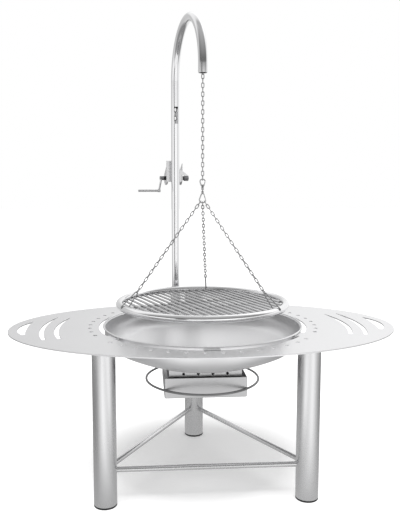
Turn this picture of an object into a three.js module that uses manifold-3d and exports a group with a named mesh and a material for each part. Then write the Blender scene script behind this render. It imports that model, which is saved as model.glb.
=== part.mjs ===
// A swing grill: an elliptical table on three tube legs carries a fire bowl, and a bent
// gallows tube beside the rear leg hangs a round cooking grate over it on chains.
// Lengths are millimetres, angles are degrees. X runs along the table, Y to the back, Z up.
import * as THREE from "three";
import { mergeVertices } from "three/addons/utils/BufferGeometryUtils.js";
import Module from "manifold-3d";

const wasm = await Module();
wasm.setup();

const degree = Math.PI / 180;
const fullTurn = 360;
const quarterTurn = 90;

// Clearances shared by all pieces
const seatGap = 0.3;
const cutOverrun = 10;

// Table
const tableHeight = 650;
const tableThickness = 5;
const tableHalfLength = 778;
const tableBeyondLegs = 42;
const tableForward = 23;
const openingGap = 18.7;
const rimHoleSetback = 36.8;
const rimHoleRadius = 6;
const rimHoleStep = 8;
const rimHoleMargin = 5;
const frontTongueWidth = 62;
const rearTongueWidth = 120;
const tongueRoot = 20;
const tongueGrip = 1.8;
const notchClearance = 2;

// Table end slots: the outer edge of each is an arc whose middle stands in from the table's end by
// the margin, and its width changes from front to back
const outerSlot = { margin: 35, chord: 232, sagitta: 37, front: 13, width: 36, back: 2 };
const middleSlot = { margin: 126, chord: 404, sagitta: 36, front: 14, width: 17, back: 4 };
const innerSlot = { margin: 183, chord: 376, sagitta: 34, front: 14, width: 17, back: 4 };
const slotForward = 28;

// Legs
const legCount = 3;
const legSetback = 48.7;
const legRadius = 44.45;
const legWall = 3;
const rearLegRise = 54;
const footCapHeight = 7.5;
const footPlugHeight = 9;
const flangeWidth = 14;
const flangeThickness = 5;
const legCapThickness = 4;
const braceRadius = 10.65;
const braceHeight = 140;

// Fire bowl
const bowlRimRadius = 403.3;
const bowlDepth = 184;
const bowlWall = 3;
const bowlBeadRadius = 3.5;
const ashOpeningRadius = 75;
const ashGrateRadius = 92;
const ashGrateThickness = 4;
const ashSlotWidth = 9;
const ashSlotPitch = 22;
const ashSlotCount = 7;
const ashSlotMargin = 14;
const rimTabLeft = -34;
const rimTabRight = 27;
const rimTabDepth = 20;
const rimTabThickness = 2;

// Ash duct, with heights measured from the bowl's bottom
const ductHalfWidth = 144;
const ductHalfDepth = 145;
const ductDrop = 33.8;
const ductWall = 2.5;
const airHoleRadius = 6;
const airHolePitch = 57.6;
const airHoleCount = 4;
const airHoleRise = 9.2;
const railReach = 13;
const railThickness = 3;
const railDrop = 23.8;

// Ash tray, with its top measured from the bowl's bottom
const trayHalfWidth = 162;
const trayHalfDepth = 166;
const trayTopRise = 2.2;
const trayDepth = 80;
const trayBackDepth = 37;
const trayWall = 2;
const runnerReach = 10;
const ringWireRadius = 4.5;
const ringRise = 34;

// Gallows: the sleeve is measured from the table's top, the rest from where the arch springs
const postX = -88;
const postRadius = 19;
const postWall = 2.5;
const springHeight = 1697.5;
const mouthDrop = 35.5;
const sleeveRadius = 24.15;
const sleeveRunningGap = 0.6;
const sleeveRise = 50;
const sleeveDrop = 270;
const sleevePlugHeight = 8;
const gussetThickness = 6;
const gussetHeight = 60;
const gussetDrops = { lower: 220, upper: 105 };
const windowWidth = 10;
const windowLength = 78;
const windowDrop = 115.5;
const chainEntryWidth = 18;
const chainEntryRise = 43;
const chainEntryLength = 124;
const mouthBore = 8;
const mouthGuideHeight = 6;

// Winch behind the post, in the gallows' own frame: X across, Y backwards from the post's axis.
// Its rises and drops are measured from its shaft, and the shaft's from where the arch springs.
const baseLeft = -38;
const baseRight = 36;
const baseThickness = 5;
const baseDrop = 18;
const baseRise = 81;
const chainSlotRise = 19;
const wingReach = 79;
const wingTipDrop = 12;
const wingShoulderRise = 45;
const clampWireRadius = 3;
const clampRises = [-4, 63];
const clampTail = 8;
const clampNutRadius = 5.6;
const clampNutHeight = 4.6;
const shaftBack = 60;
const shaftDrop = 444.5;
const shaftRadius = 6;
const bearingGap = 0.4;
const cheekThickness = 4;
const leftCheekX = -34;
const rightCheekX = 38;
const cheekLobeRadius = 33;
const cheekRise = 69;
const cheekHeelDrop = 13;
const drumCoreRadius = 12.2;
const drumFlangeRadius = 29.5;
const drumFlangeThickness = 3;
const drumPlay = 0.8;
const bushRadius = 9.5;
const bushLength = 11;
const hubRadius = 9.5;
const hubLength = 14;
const hubGap = 2;
const crankReach = 99;
const crankDrop = 59;
const crankLean = 17;
const crankArmRadius = 4.5;
const crankEyeRadius = 7;
const crankEyeLength = 12;
const handleRadius = 5.3;
const handleLength = 94;
const knobRadius = 13;
const knobLength = 25;
const knobCrown = 4;

// Chain
const linkWire = 4;
const linkWidth = 15;
const linkPitch = 21;
const linkBite = 0.5;
const winchChainBendRise = 152;
const winchChainTopDrop = 99.5;

// Snap hooks and the swivel between them
const hookWireRadius = 2.5;
const upperHookLength = 32;
const upperHookWide = 10.5;
const upperHookNarrow = 7.4;
const lowerHookLength = 42;
const lowerHookWide = 13;
const lowerHookNarrow = 6;
const hookNoseAngle = 10;
const gateRadius = 1.8;
const gateHeelGap = 0.85;
const gateNoseGap = 1.5;
const barrelRadius = 5.4;
const barrelLength = 14;
const shankRadius = 2.2;
const shankPlay = 0.4;
const shankHeadRadius = 4;
const shankHeadHeight = 2.5;
const ballRadius = 5.5;
const ballRise = 4;
const ballDrop = 8;

// Cooking grate
const grateInset = 50.3;
const grateLedgeWidth = 36;
const grateLift = 99;
const bridleRise = 397;
const grateWallHeight = 19;
const grateSheet = 3;
const grateBead = 2;
const grateLipHeight = 21;
const barRadius = 5;
const barPitch = 30;
const barAngle = 111.5;
const barTopDrop = 7;
const bearerRadius = 5;
const bearerSpacing = 132;
const bearerBite = 1.5;
const hangerAngles = [82, 202, 322];
const hookSeatAngles = [0, -45, 45];
const hangerWireRadius = 2;
const hangerApexRadius = 5;
const hangerFootHalfWidth = 7.8;
const hangerArcHeight = 21;
const hangerFootDrop = 9;
const hangerHoleRadius = 3;

// Facets round the turned and bent pieces
const roundSides = 40;
const tubeSides = 16;
const smallSides = 12;
const barSides = 8;
const wireSides = 6;
const linkSides = 4;
const bendSteps = 4;
const archSteps = 12;
const hookSteps = 8;

const steel = new THREE.MeshStandardMaterial({ color: 0xc9cbcc, roughness: 0.32, metalness: 1 });
const brushedSteel = new THREE.MeshStandardMaterial({ color: 0xb9bbbd, roughness: 0.42, metalness: 1 });
const chainSteel = new THREE.MeshStandardMaterial({ color: 0x9b9da0, roughness: 0.3, metalness: 1 });
const blackPlastic = new THREE.MeshStandardMaterial({ color: 0x1c1c1e, roughness: 0.55, metalness: 0 });

// A geometry as a solid for cutting and joining, with its shared vertices merged.
function solidOf(geometry) {
  const bare = geometry.clone();
  bare.deleteAttribute("normal");
  bare.deleteAttribute("uv");
  const merged = mergeVertices(bare);
  return new wasm.Manifold(
    new wasm.Mesh({
      numProp: 3,
      vertProperties: new Float32Array(merged.attributes.position.array),
      triVerts: new Uint32Array(merged.index.array),
    }),
  );
}

// A solid as a geometry for a mesh.
function geometryOf(solid) {
  const mesh = solid.getMesh();
  const positions = new Float32Array(mesh.vertProperties);
  return new THREE.BufferGeometry()
    .setAttribute("position", new THREE.BufferAttribute(positions, 3))
    .setIndex(new THREE.BufferAttribute(new Uint32Array(mesh.triVerts), 1));
}

function join(geometries) {
  return geometryOf(geometries.map(solidOf).reduce((whole, piece) => whole.add(piece)));
}

function cut(body, tools) {
  return geometryOf(tools.map(solidOf).reduce((rest, tool) => rest.subtract(tool), solidOf(body)));
}

// A box between two corners.
function block(low, high) {
  const size = new THREE.Vector3().subVectors(high, low);
  const middle = new THREE.Vector3().addVectors(low, high).divideScalar(2);
  return new THREE.BoxGeometry(size.x, size.y, size.z).translate(middle.x, middle.y, middle.z);
}

// A round bar between two points.
function bar(from, to, radius, sides) {
  const along = new THREE.Vector3().subVectors(to, from);
  const middle = new THREE.Vector3().addVectors(from, to).divideScalar(2);
  const length = along.length();
  const turn = new THREE.Quaternion().setFromUnitVectors(new THREE.Vector3(0, 1, 0), along.normalize());
  return new THREE.CylinderGeometry(radius, radius, length, sides)
    .applyQuaternion(turn)
    .translate(middle.x, middle.y, middle.z);
}

// A profile of radius and height pairs turned about the Z axis.
function turned(profile, segments) {
  const points = profile.map(([radius, height]) => new THREE.Vector2(radius, height));
  return new THREE.LatheGeometry(points, segments).rotateX(quarterTurn * degree);
}

// A ring profile, closed on itself: the outer wall up and the bore down.
function collar(bore, outside, bottom, top, segments) {
  const profile = [
    [bore, bottom],
    [outside, bottom],
    [outside, top],
    [bore, top],
    [bore, bottom],
  ];
  return turned(profile, segments);
}

function disc(radius, bottom, top, segments) {
  return turned([[0, bottom], [radius, bottom], [radius, top], [0, top]], segments);
}

// A flat outline in X and Y, raised from bottom to top.
function sheet(shape, bottom, top, segments) {
  const depth = top - bottom;
  return new THREE.ExtrudeGeometry(shape, { depth, bevelEnabled: false, curveSegments: segments }).translate(
    0,
    0,
    bottom,
  );
}

// A path with one station at each given point, so a straight run takes a single step.
class StationPath extends THREE.Curve {
  constructor(points) {
    super();
    this.points = points;
  }
  indexAt(share) {
    return Math.round(share * (this.points.length - 1));
  }
  getPoint(share, target = new THREE.Vector3()) {
    return target.copy(this.points[this.indexAt(share)]);
  }
  getPointAt(share, target) {
    return this.getPoint(share, target);
  }
  getTangentAt(share, target = new THREE.Vector3()) {
    const here = this.indexAt(share);
    const before = this.points[Math.max(here - 1, 0)];
    const after = this.points[Math.min(here + 1, this.points.length - 1)];
    return target.subVectors(after, before).normalize();
  }
}

// A round wire or tube through stations. A bore of zero leaves it solid.
function tubeAlong(points, radius, bore, sides) {
  const section = new THREE.Shape().absarc(0, 0, radius, 0, fullTurn * degree, false);
  if (bore > 0) section.holes.push(new THREE.Path().absarc(0, 0, bore, 0, fullTurn * degree, true));
  return new THREE.ExtrudeGeometry(section, {
    steps: points.length - 1,
    extrudePath: new StationPath(points),
    curveSegments: sides / 2,
  });
}

const polar = (radius, angle, height) =>
  new THREE.Vector3(radius * Math.cos(angle * degree), radius * Math.sin(angle * degree), height);

// A closed wire through flat points in X and Z, taken anticlockwise, mitred at each point.
function closedWire(points, radius, sides) {
  const count = points.length;
  const positions = [];
  const faces = [];
  points.forEach((here, i) => {
    const into = here.clone().sub(points[(i + count - 1) % count]).normalize();
    const out = points[(i + 1) % count].clone().sub(here).normalize();
    const mitre = new THREE.Vector2(into.y + out.y, -into.x - out.x);
    mitre.multiplyScalar(2 / mitre.lengthSq());
    for (let k = 0; k < sides; k++) {
      const angle = (k * fullTurn * degree) / sides;
      const side = radius * Math.cos(angle);
      positions.push(here.x + mitre.x * side, radius * Math.sin(angle), here.y + mitre.y * side);
      const nextSide = (k + 1) % sides;
      const next = ((i + 1) % count) * sides;
      faces.push(i * sides + k, i * sides + nextSide, next + nextSide);
      faces.push(i * sides + k, next + nextSide, next + k);
    }
  });
  return new THREE.BufferGeometry()
    .setAttribute("position", new THREE.BufferAttribute(new Float32Array(positions), 3))
    .setIndex(faces);
}

// Points of an arc in X and Z, whose flats keep the radius.
function flatArc(centreX, centreZ, radius, from, to, steps) {
  const step = (to - from) / steps;
  const corner = radius / Math.cos((step * degree) / 2);
  return Array.from({ length: steps }, (_, i) => {
    const angle = (from + (i + 1 / 2) * step) * degree;
    return new THREE.Vector2(centreX + corner * Math.cos(angle), centreZ + corner * Math.sin(angle));
  });
}

// Radii round the bowl's axis, each from the bowl's rim
const openingRadius = bowlRimRadius + openingGap;
const rimHoleAxisRadius = openingRadius + rimHoleSetback;
const legAxisRadius = bowlRimRadius + legSetback;
const tableHalfWidth = legAxisRadius + tableBeyondLegs;
const grateRimRadius = bowlRimRadius - grateInset;

// Places that several pieces share
const legAngles = Array.from({ length: legCount }, (_, i) => quarterTurn + (i * fullTurn) / legCount);
const legNames = ["rear", "left", "right"];
const tableUnderside = tableHeight - tableThickness;
const grateTopHeight = tableHeight + grateLift;
const postY = legAxisRadius;
const postAxis = new THREE.Vector2(postX, postY);
const postReach = Math.hypot(postX, postY);
const beadHeight = tableHeight + seatGap + bowlBeadRadius;
const beadStart = -45;
const beadSteps = 5;
const bowlBottomHeight = beadHeight - bowlDepth;
const bowlSphereRadius = (bowlRimRadius ** 2 + bowlDepth ** 2) / (2 * bowlDepth);
const bowlCentreHeight = bowlBottomHeight + bowlSphereRadius;
const ledgeInnerRadius = grateRimRadius - grateLedgeWidth;
const bowlArcSteps = 5;

// Heights above the floor, each from the piece that carries it
const ductBottomHeight = bowlBottomHeight - ductDrop;
const airHoleHeight = bowlBottomHeight + airHoleRise;
const railHeight = bowlBottomHeight - railDrop;
const trayTopHeight = bowlBottomHeight + trayTopRise;
const trayBottomHeight = trayTopHeight - trayDepth;
const trayBackHeight = trayBottomHeight + trayBackDepth;
const ringHeight = trayBottomHeight + ringRise;
const sleeveTopHeight = tableHeight + sleeveRise;
const sleeveBottomHeight = tableHeight - sleeveDrop;
const mouthHeight = springHeight - mouthDrop;
const shaftHeight = springHeight - shaftDrop;
const baseBottomHeight = shaftHeight - baseDrop;
const baseTopHeight = shaftHeight + baseRise;
const lowerHook = { bottom: grateTopHeight + bridleRise, wide: lowerHookWide, narrow: lowerHookNarrow };
lowerHook.top = lowerHook.bottom + lowerHookLength;
const ballHeight = lowerHook.top + ballRise;
const barrelBottomHeight = ballHeight + ballDrop;
const upperHook = { bottom: barrelBottomHeight + barrelLength, wide: upperHookWide, narrow: upperHookNarrow };
upperHook.top = upperHook.bottom + upperHookLength;

const grill = new THREE.Group();

// The gallows turns about its post, so its own frame stands on the post's axis with -Y to the mouth.
const gallows = new THREE.Group();
gallows.position.set(postX, postY, 0);
gallows.rotation.z = Math.atan2(-postX, postY);
grill.add(gallows);

function add(parent, name, geometry, material) {
  geometry.computeVertexNormals();
  const mesh = new THREE.Mesh(geometry, material);
  mesh.name = name;
  parent.add(mesh);
}

// Bowl wall at one radius: from the edge of the ash opening, past the ash grate's seat, to the rim
function bowlArc(radius, firstRadius) {
  const edge = bowlRimRadius - bowlBeadRadius;
  const angles = [Math.asin(firstRadius / bowlSphereRadius), Math.asin(ashGrateRadius / bowlSphereRadius)];
  const last = Math.asin(edge / bowlSphereRadius);
  for (let i = 1; i <= bowlArcSteps; i++) {
    angles.push(angles[1] + ((last - angles[1]) * i) / bowlArcSteps);
  }
  return angles.map((angle) => [radius * Math.sin(angle), bowlCentreHeight - radius * Math.cos(angle)]);
}

// The room that the bowl takes with its clearance, for cutting what stands under it
function bowlRoom() {
  const wall = bowlArc(bowlSphereRadius + 2 * seatGap, ashOpeningRadius);
  const [bottomRadius, bottomHeight] = wall[0];
  const [rimRadius] = wall[wall.length - 1];
  const top = beadHeight + bowlDepth;
  const profile = [[0, bottomHeight], [bottomRadius, bottomHeight], ...wall, [rimRadius, top], [0, top]];
  return turned(profile, roundSides);
}

// Table: an elliptical sheet with the bowl's opening, its tongues, a ring of holes and the end slots
function slotShape(slot, side) {
  const radius = ((slot.chord / 2) ** 2 + slot.sagitta ** 2) / (2 * slot.sagitta);
  const centreX = tableHalfLength - slot.margin - radius;
  const halfAngle = Math.asin(slot.chord / 2 / radius);
  const outside = [];
  const inside = [];
  for (let i = 0; i <= smallSides; i++) {
    const share = i / smallSides;
    const angle = halfAngle * (2 * share - 1);
    const fromEnds = 4 * share * (1 - share);
    const atFront = slot.front * (1 - share) * (1 - 2 * share);
    const atBack = slot.back * share * (2 * share - 1);
    const width = atFront + slot.width * fromEnds + atBack;
    const at = (reach) =>
      new THREE.Vector2(side * (centreX + reach * Math.cos(angle)), reach * Math.sin(angle));
    outside.push(at(radius));
    inside.push(at(radius - width));
  }
  const outline = [...outside, ...inside.reverse()];
  outline.forEach((point) => (point.y -= slotForward));
  return new THREE.Path(outline);
}

function throughTable(radius, x, y, sides) {
  return disc(radius, tableUnderside - cutOverrun, tableHeight + cutOverrun, sides).translate(x, y, 0);
}

function tongue(angle, width) {
  const low = new THREE.Vector3(bowlRimRadius - tongueGrip, -width / 2, tableUnderside);
  const high = new THREE.Vector3(openingRadius + tongueRoot, width / 2, tableHeight);
  return block(low, high).rotateZ(angle * degree);
}

function buildTable() {
  const outline = new THREE.Shape().absellipse(
    0,
    -tableForward,
    tableHalfLength,
    tableHalfWidth,
    0,
    fullTurn * degree,
    false,
  );
  for (const slot of [outerSlot, middleSlot, innerSlot]) {
    outline.holes.push(slotShape(slot, 1), slotShape(slot, -1));
  }
  const plate = sheet(outline, tableUnderside, tableHeight, roundSides);
  const holes = [];
  const holeCount = fullTurn / rimHoleStep;
  for (let i = 0; i < holeCount; i++) {
    const angle = quarterTurn + i * rimHoleStep;
    const place = polar(rimHoleAxisRadius, angle, 0);
    const overLeg = legAngles.some((leg) => (angle - leg) % fullTurn === 0);
    const fromPost = Math.hypot(place.x - postAxis.x, place.y - postAxis.y);
    const clearOfPost = fromPost > sleeveRadius + notchClearance + rimHoleRadius + rimHoleMargin;
    if (!overLeg && clearOfPost) holes.push(throughTable(rimHoleRadius, place.x, place.y, wireSides));
  }
  const ring = cut(plate, [throughTable(openingRadius, 0, 0, roundSides), ...holes]);
  const tongues = legAngles.map((angle, i) => tongue(angle, i === 0 ? rearTongueWidth : frontTongueWidth));
  const legNotch = throughTable(legRadius + notchClearance, 0, legAxisRadius, tubeSides);
  const sleeveNotch = throughTable(sleeveRadius + notchClearance, postX, postY, tubeSides);
  add(grill, "table_plate", cut(join([ring, ...tongues]), [legNotch, sleeveNotch]), brushedSteel);
}

// Legs: tubes with a plastic foot cap below and a welded flange under the table
function buildLegs() {
  const flangeBottom = tableUnderside - flangeThickness - seatGap;
  legAngles.forEach((angle, i) => {
    const { x, y } = polar(legAxisRadius, angle, 0);
    const isRear = i === 0;
    const top = isRear ? tableHeight + rearLegRise : flangeBottom - seatGap;
    const tube = collar(legRadius - legWall, legRadius, footCapHeight + seatGap, top, tubeSides);
    add(grill, `leg_${legNames[i]}`, tube.translate(x, y, 0), steel);
    const plugRadius = legRadius - legWall - seatGap;
    const capProfile = [
      [0, 0],
      [legRadius, 0],
      [legRadius, footCapHeight],
      [plugRadius, footCapHeight],
      [plugRadius, footCapHeight + footPlugHeight],
      [0, footCapHeight + footPlugHeight],
    ];
    add(grill, `foot_cap_${legNames[i]}`, turned(capProfile, tubeSides).translate(x, y, 0), blackPlastic);
    const flangeRadius = legRadius + flangeWidth;
    const flangeTop = flangeBottom + flangeThickness;
    const flange = isRear
      ? collar(legRadius + seatGap, flangeRadius, flangeBottom, flangeTop, tubeSides)
      : disc(flangeRadius, flangeBottom, flangeTop, tubeSides);
    add(grill, `leg_flange_${legNames[i]}`, cut(flange.translate(x, y, 0), [bowlRoom()]), steel);
    if (isRear) {
      const lid = disc(legRadius, top + seatGap, top + seatGap + legCapThickness, tubeSides);
      add(grill, "rear_leg_cap", lid.translate(x, y, 0), steel);
    }
  });
}

// Braces: three tubes between the legs, coped to the leg's round
function buildBraces() {
  const names = ["left", "front", "right"];
  legAngles.forEach((angle, i) => {
    const from = polar(legAxisRadius, angle, braceHeight);
    const to = polar(legAxisRadius, legAngles[(i + 1) % legCount], braceHeight);
    const legRoom = disc(legRadius + seatGap, braceHeight - legRadius, braceHeight + legRadius, tubeSides);
    const copes = [from, to].map((end) => legRoom.clone().translate(end.x, end.y, 0));
    add(grill, `brace_${names[i]}`, cut(bar(from, to, braceRadius, smallSides), copes), steel);
  });
}

// Fire bowl: a dished shell with a rolled rim, a round ash opening and a lift-out slotted grate
function buildBowl() {
  const outside = bowlArc(bowlSphereRadius, ashOpeningRadius);
  const inside = bowlArc(bowlSphereRadius - bowlWall, ashOpeningRadius);
  const bead = Array.from({ length: beadSteps + 1 }, (_, i) => {
    const angle = (beadStart + ((fullTurn / 2 - beadStart) * i) / beadSteps) * degree;
    return [bowlRimRadius + bowlBeadRadius * Math.cos(angle), beadHeight + bowlBeadRadius * Math.sin(angle)];
  });
  add(grill, "fire_bowl", turned([...outside, ...bead, ...inside.reverse(), outside[0]], roundSides), steel);

  const seatHeight = bowlArc(bowlSphereRadius - bowlWall, ashOpeningRadius)[1][1] + 2 * seatGap;
  const plate = disc(ashGrateRadius - bowlWall, seatHeight, seatHeight + ashGrateThickness, tubeSides);
  const slots = Array.from({ length: ashSlotCount }, (_, i) => {
    const x = (i - (ashSlotCount - 1) / 2) * ashSlotPitch;
    const half = Math.sqrt((ashGrateRadius - ashSlotMargin) ** 2 - x ** 2);
    const low = new THREE.Vector3(x - ashSlotWidth / 2, -half, seatHeight - cutOverrun);
    return block(low, new THREE.Vector3(x + ashSlotWidth / 2, half, seatHeight + cutOverrun));
  });
  add(grill, "ash_grate", cut(plate, slots), chainSteel);

  const tabBack = -bowlRimRadius - bowlBeadRadius - seatGap;
  const tab = block(
    new THREE.Vector3(rimTabLeft, tabBack - rimTabDepth, tableHeight + seatGap),
    new THREE.Vector3(rimTabRight, tabBack, tableHeight + seatGap + rimTabThickness),
  );
  add(grill, "rim_tab", tab, steel);
}

// Ash duct: a square skirt cut to the bowl's underside, with air holes and two rails for the tray
function buildDuct() {
  const walls = cut(
    block(
      new THREE.Vector3(-ductHalfWidth, -ductHalfDepth, ductBottomHeight),
      new THREE.Vector3(ductHalfWidth, ductHalfDepth, tableUnderside),
    ),
    [
      block(
        new THREE.Vector3(ductWall - ductHalfWidth, ductWall - ductHalfDepth, ductBottomHeight - cutOverrun),
        new THREE.Vector3(ductHalfWidth - ductWall, ductHalfDepth - ductWall, tableUnderside + cutOverrun),
      ),
      bowlRoom(),
    ],
  );
  const airHoles = Array.from({ length: airHoleCount }, (_, i) => {
    const x = (i - (airHoleCount - 1) / 2) * airHolePitch;
    const front = new THREE.Vector3(x, -ductHalfDepth - cutOverrun, airHoleHeight);
    const back = new THREE.Vector3(x, cutOverrun - ductHalfDepth, airHoleHeight);
    return bar(front, back, airHoleRadius, smallSides);
  });
  add(grill, "ash_duct", cut(walls, airHoles), steel);
  for (const side of [-1, 1]) {
    const near = side * (ductHalfWidth + seatGap);
    const far = side * (ductHalfWidth + railReach);
    const low = new THREE.Vector3(Math.min(near, far), -ductHalfDepth, railHeight - railThickness);
    const high = new THREE.Vector3(Math.max(near, far), ductHalfDepth, railHeight);
    add(grill, side < 0 ? "duct_rail_left" : "duct_rail_right", block(low, high), steel);
  }
}

// Ash tray: a folded box with a low back, runners that ride on the rails, and a hoop to pull it by
function buildTray() {
  const box = block(
    new THREE.Vector3(-trayHalfWidth, -trayHalfDepth, trayBottomHeight),
    new THREE.Vector3(trayHalfWidth, trayHalfDepth, trayTopHeight),
  );
  const inner = trayHalfWidth - trayWall;
  const inside = block(
    new THREE.Vector3(-inner, trayWall - trayHalfDepth, trayBottomHeight + trayWall),
    new THREE.Vector3(inner, trayHalfDepth - trayWall, trayTopHeight + cutOverrun),
  );
  const backCut = block(
    new THREE.Vector3(-inner, 0, trayBackHeight),
    new THREE.Vector3(inner, trayHalfDepth + cutOverrun, trayTopHeight + cutOverrun),
  );
  add(grill, "ash_tray", cut(box, [inside, backCut]), steel);
  for (const side of [-1, 1]) {
    const near = side * (inner - seatGap);
    const far = near - side * runnerReach;
    const bottom = railHeight + seatGap;
    const reach = trayHalfDepth - trayWall - seatGap;
    const low = new THREE.Vector3(Math.min(near, far), -reach, bottom);
    const high = new THREE.Vector3(Math.max(near, far), reach, bottom + railThickness);
    add(grill, side < 0 ? "tray_runner_left" : "tray_runner_right", block(low, high), steel);
  }
  const hoopRadius = Math.hypot(trayHalfWidth, trayHalfDepth);
  const hoop = new THREE.TorusGeometry(hoopRadius, ringWireRadius, wireSides, roundSides);
  hoop.translate(0, 0, ringHeight);
  const corner = block(
    new THREE.Vector3(-trayHalfWidth - seatGap, -trayHalfDepth - seatGap, trayBottomHeight),
    new THREE.Vector3(trayHalfWidth + seatGap, trayHalfDepth + seatGap, trayTopHeight),
  );
  add(grill, "tray_hoop", cut(hoop, [corner]), steel);
}

// Sleeve beside the rear leg, with its gussets and the plug that carries the post
function buildSleeve() {
  const bore = postRadius + sleeveRunningGap;
  const sleeve = collar(bore, sleeveRadius, sleeveBottomHeight, sleeveTopHeight, tubeSides);
  add(grill, "post_sleeve", sleeve.translate(postX, postY, 0), steel);
  const plug = disc(bore - seatGap, sleeveBottomHeight, sleeveBottomHeight + sleevePlugHeight, tubeSides);
  add(grill, "sleeve_plug", plug.translate(postX, postY, 0), blackPlastic);
  for (const [name, drop] of Object.entries(gussetDrops)) {
    const bottom = tableHeight - drop;
    const top = bottom + gussetHeight;
    const web = block(
      new THREE.Vector3(postX, postY - gussetThickness / 2, bottom),
      new THREE.Vector3(0, postY + gussetThickness / 2, top),
    );
    const round = (radius, x) =>
      disc(radius + seatGap, bottom - cutOverrun, top + cutOverrun, tubeSides).translate(x, postY, 0);
    add(grill, `sleeve_gusset_${name}`, cut(web, [round(sleeveRadius, postX), round(legRadius, 0)]), steel);
  }
}

// Gallows: one hollow tube, straight up and bent over in a half circle to its open mouth
function buildGallows() {
  const bend = postReach / 2;
  const stations = [new THREE.Vector3(0, 0, sleeveBottomHeight + sleevePlugHeight + seatGap)];
  for (let i = 0; i <= archSteps; i++) {
    const angle = (Math.PI * i) / archSteps;
    stations.push(new THREE.Vector3(0, bend * (Math.cos(angle) - 1), springHeight + bend * Math.sin(angle)));
  }
  stations.push(new THREE.Vector3(0, -postReach, mouthHeight));
  const tube = tubeAlong(stations, postRadius, postRadius - postWall, tubeSides);
  const windowTop = springHeight - windowDrop;
  const window = block(
    new THREE.Vector3(-windowWidth / 2, -postRadius - cutOverrun, windowTop - windowLength),
    new THREE.Vector3(windowWidth / 2, 0, windowTop),
  );
  const entryBottom = shaftHeight + chainEntryRise;
  const entry = block(
    new THREE.Vector3(-chainEntryWidth / 2, 0, entryBottom),
    new THREE.Vector3(chainEntryWidth / 2, postRadius + cutOverrun, entryBottom + chainEntryLength),
  );
  add(gallows, "gallows_tube", cut(tube, [window, entry]), steel);

  const guideRadius = postRadius - postWall - 2 * seatGap;
  const guide = collar(mouthBore, guideRadius, mouthHeight, mouthHeight + mouthGuideHeight, tubeSides);
  add(gallows, "mouth_guide", guide.translate(0, -postReach, 0), blackPlastic);
}

// A profile of radius and place pairs turned about the winch shaft.
function onShaft(profile, segments) {
  const points = profile.map(([radius, x]) => new THREE.Vector2(radius, x));
  return new THREE.LatheGeometry(points, segments)
    .rotateZ(-quarterTurn * degree)
    .translate(0, shaftBack, shaftHeight);
}

function shaftCollar(bore, outside, left, right) {
  const profile = [
    [bore, left],
    [outside, left],
    [outside, right],
    [bore, right],
    [bore, left],
  ];
  return onShaft(profile, smallSides);
}

// A round bar beside the shaft, across the winch
function across(y, z, radius, left, right, sides) {
  return bar(new THREE.Vector3(left, y, z), new THREE.Vector3(right, y, z), radius, sides);
}

const baseFront = postRadius + seatGap;
const baseBack = baseFront + baseThickness;
const clampBend = (postRadius + seatGap + clampWireRadius) / Math.cos(Math.PI / (2 * hookSteps));

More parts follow.
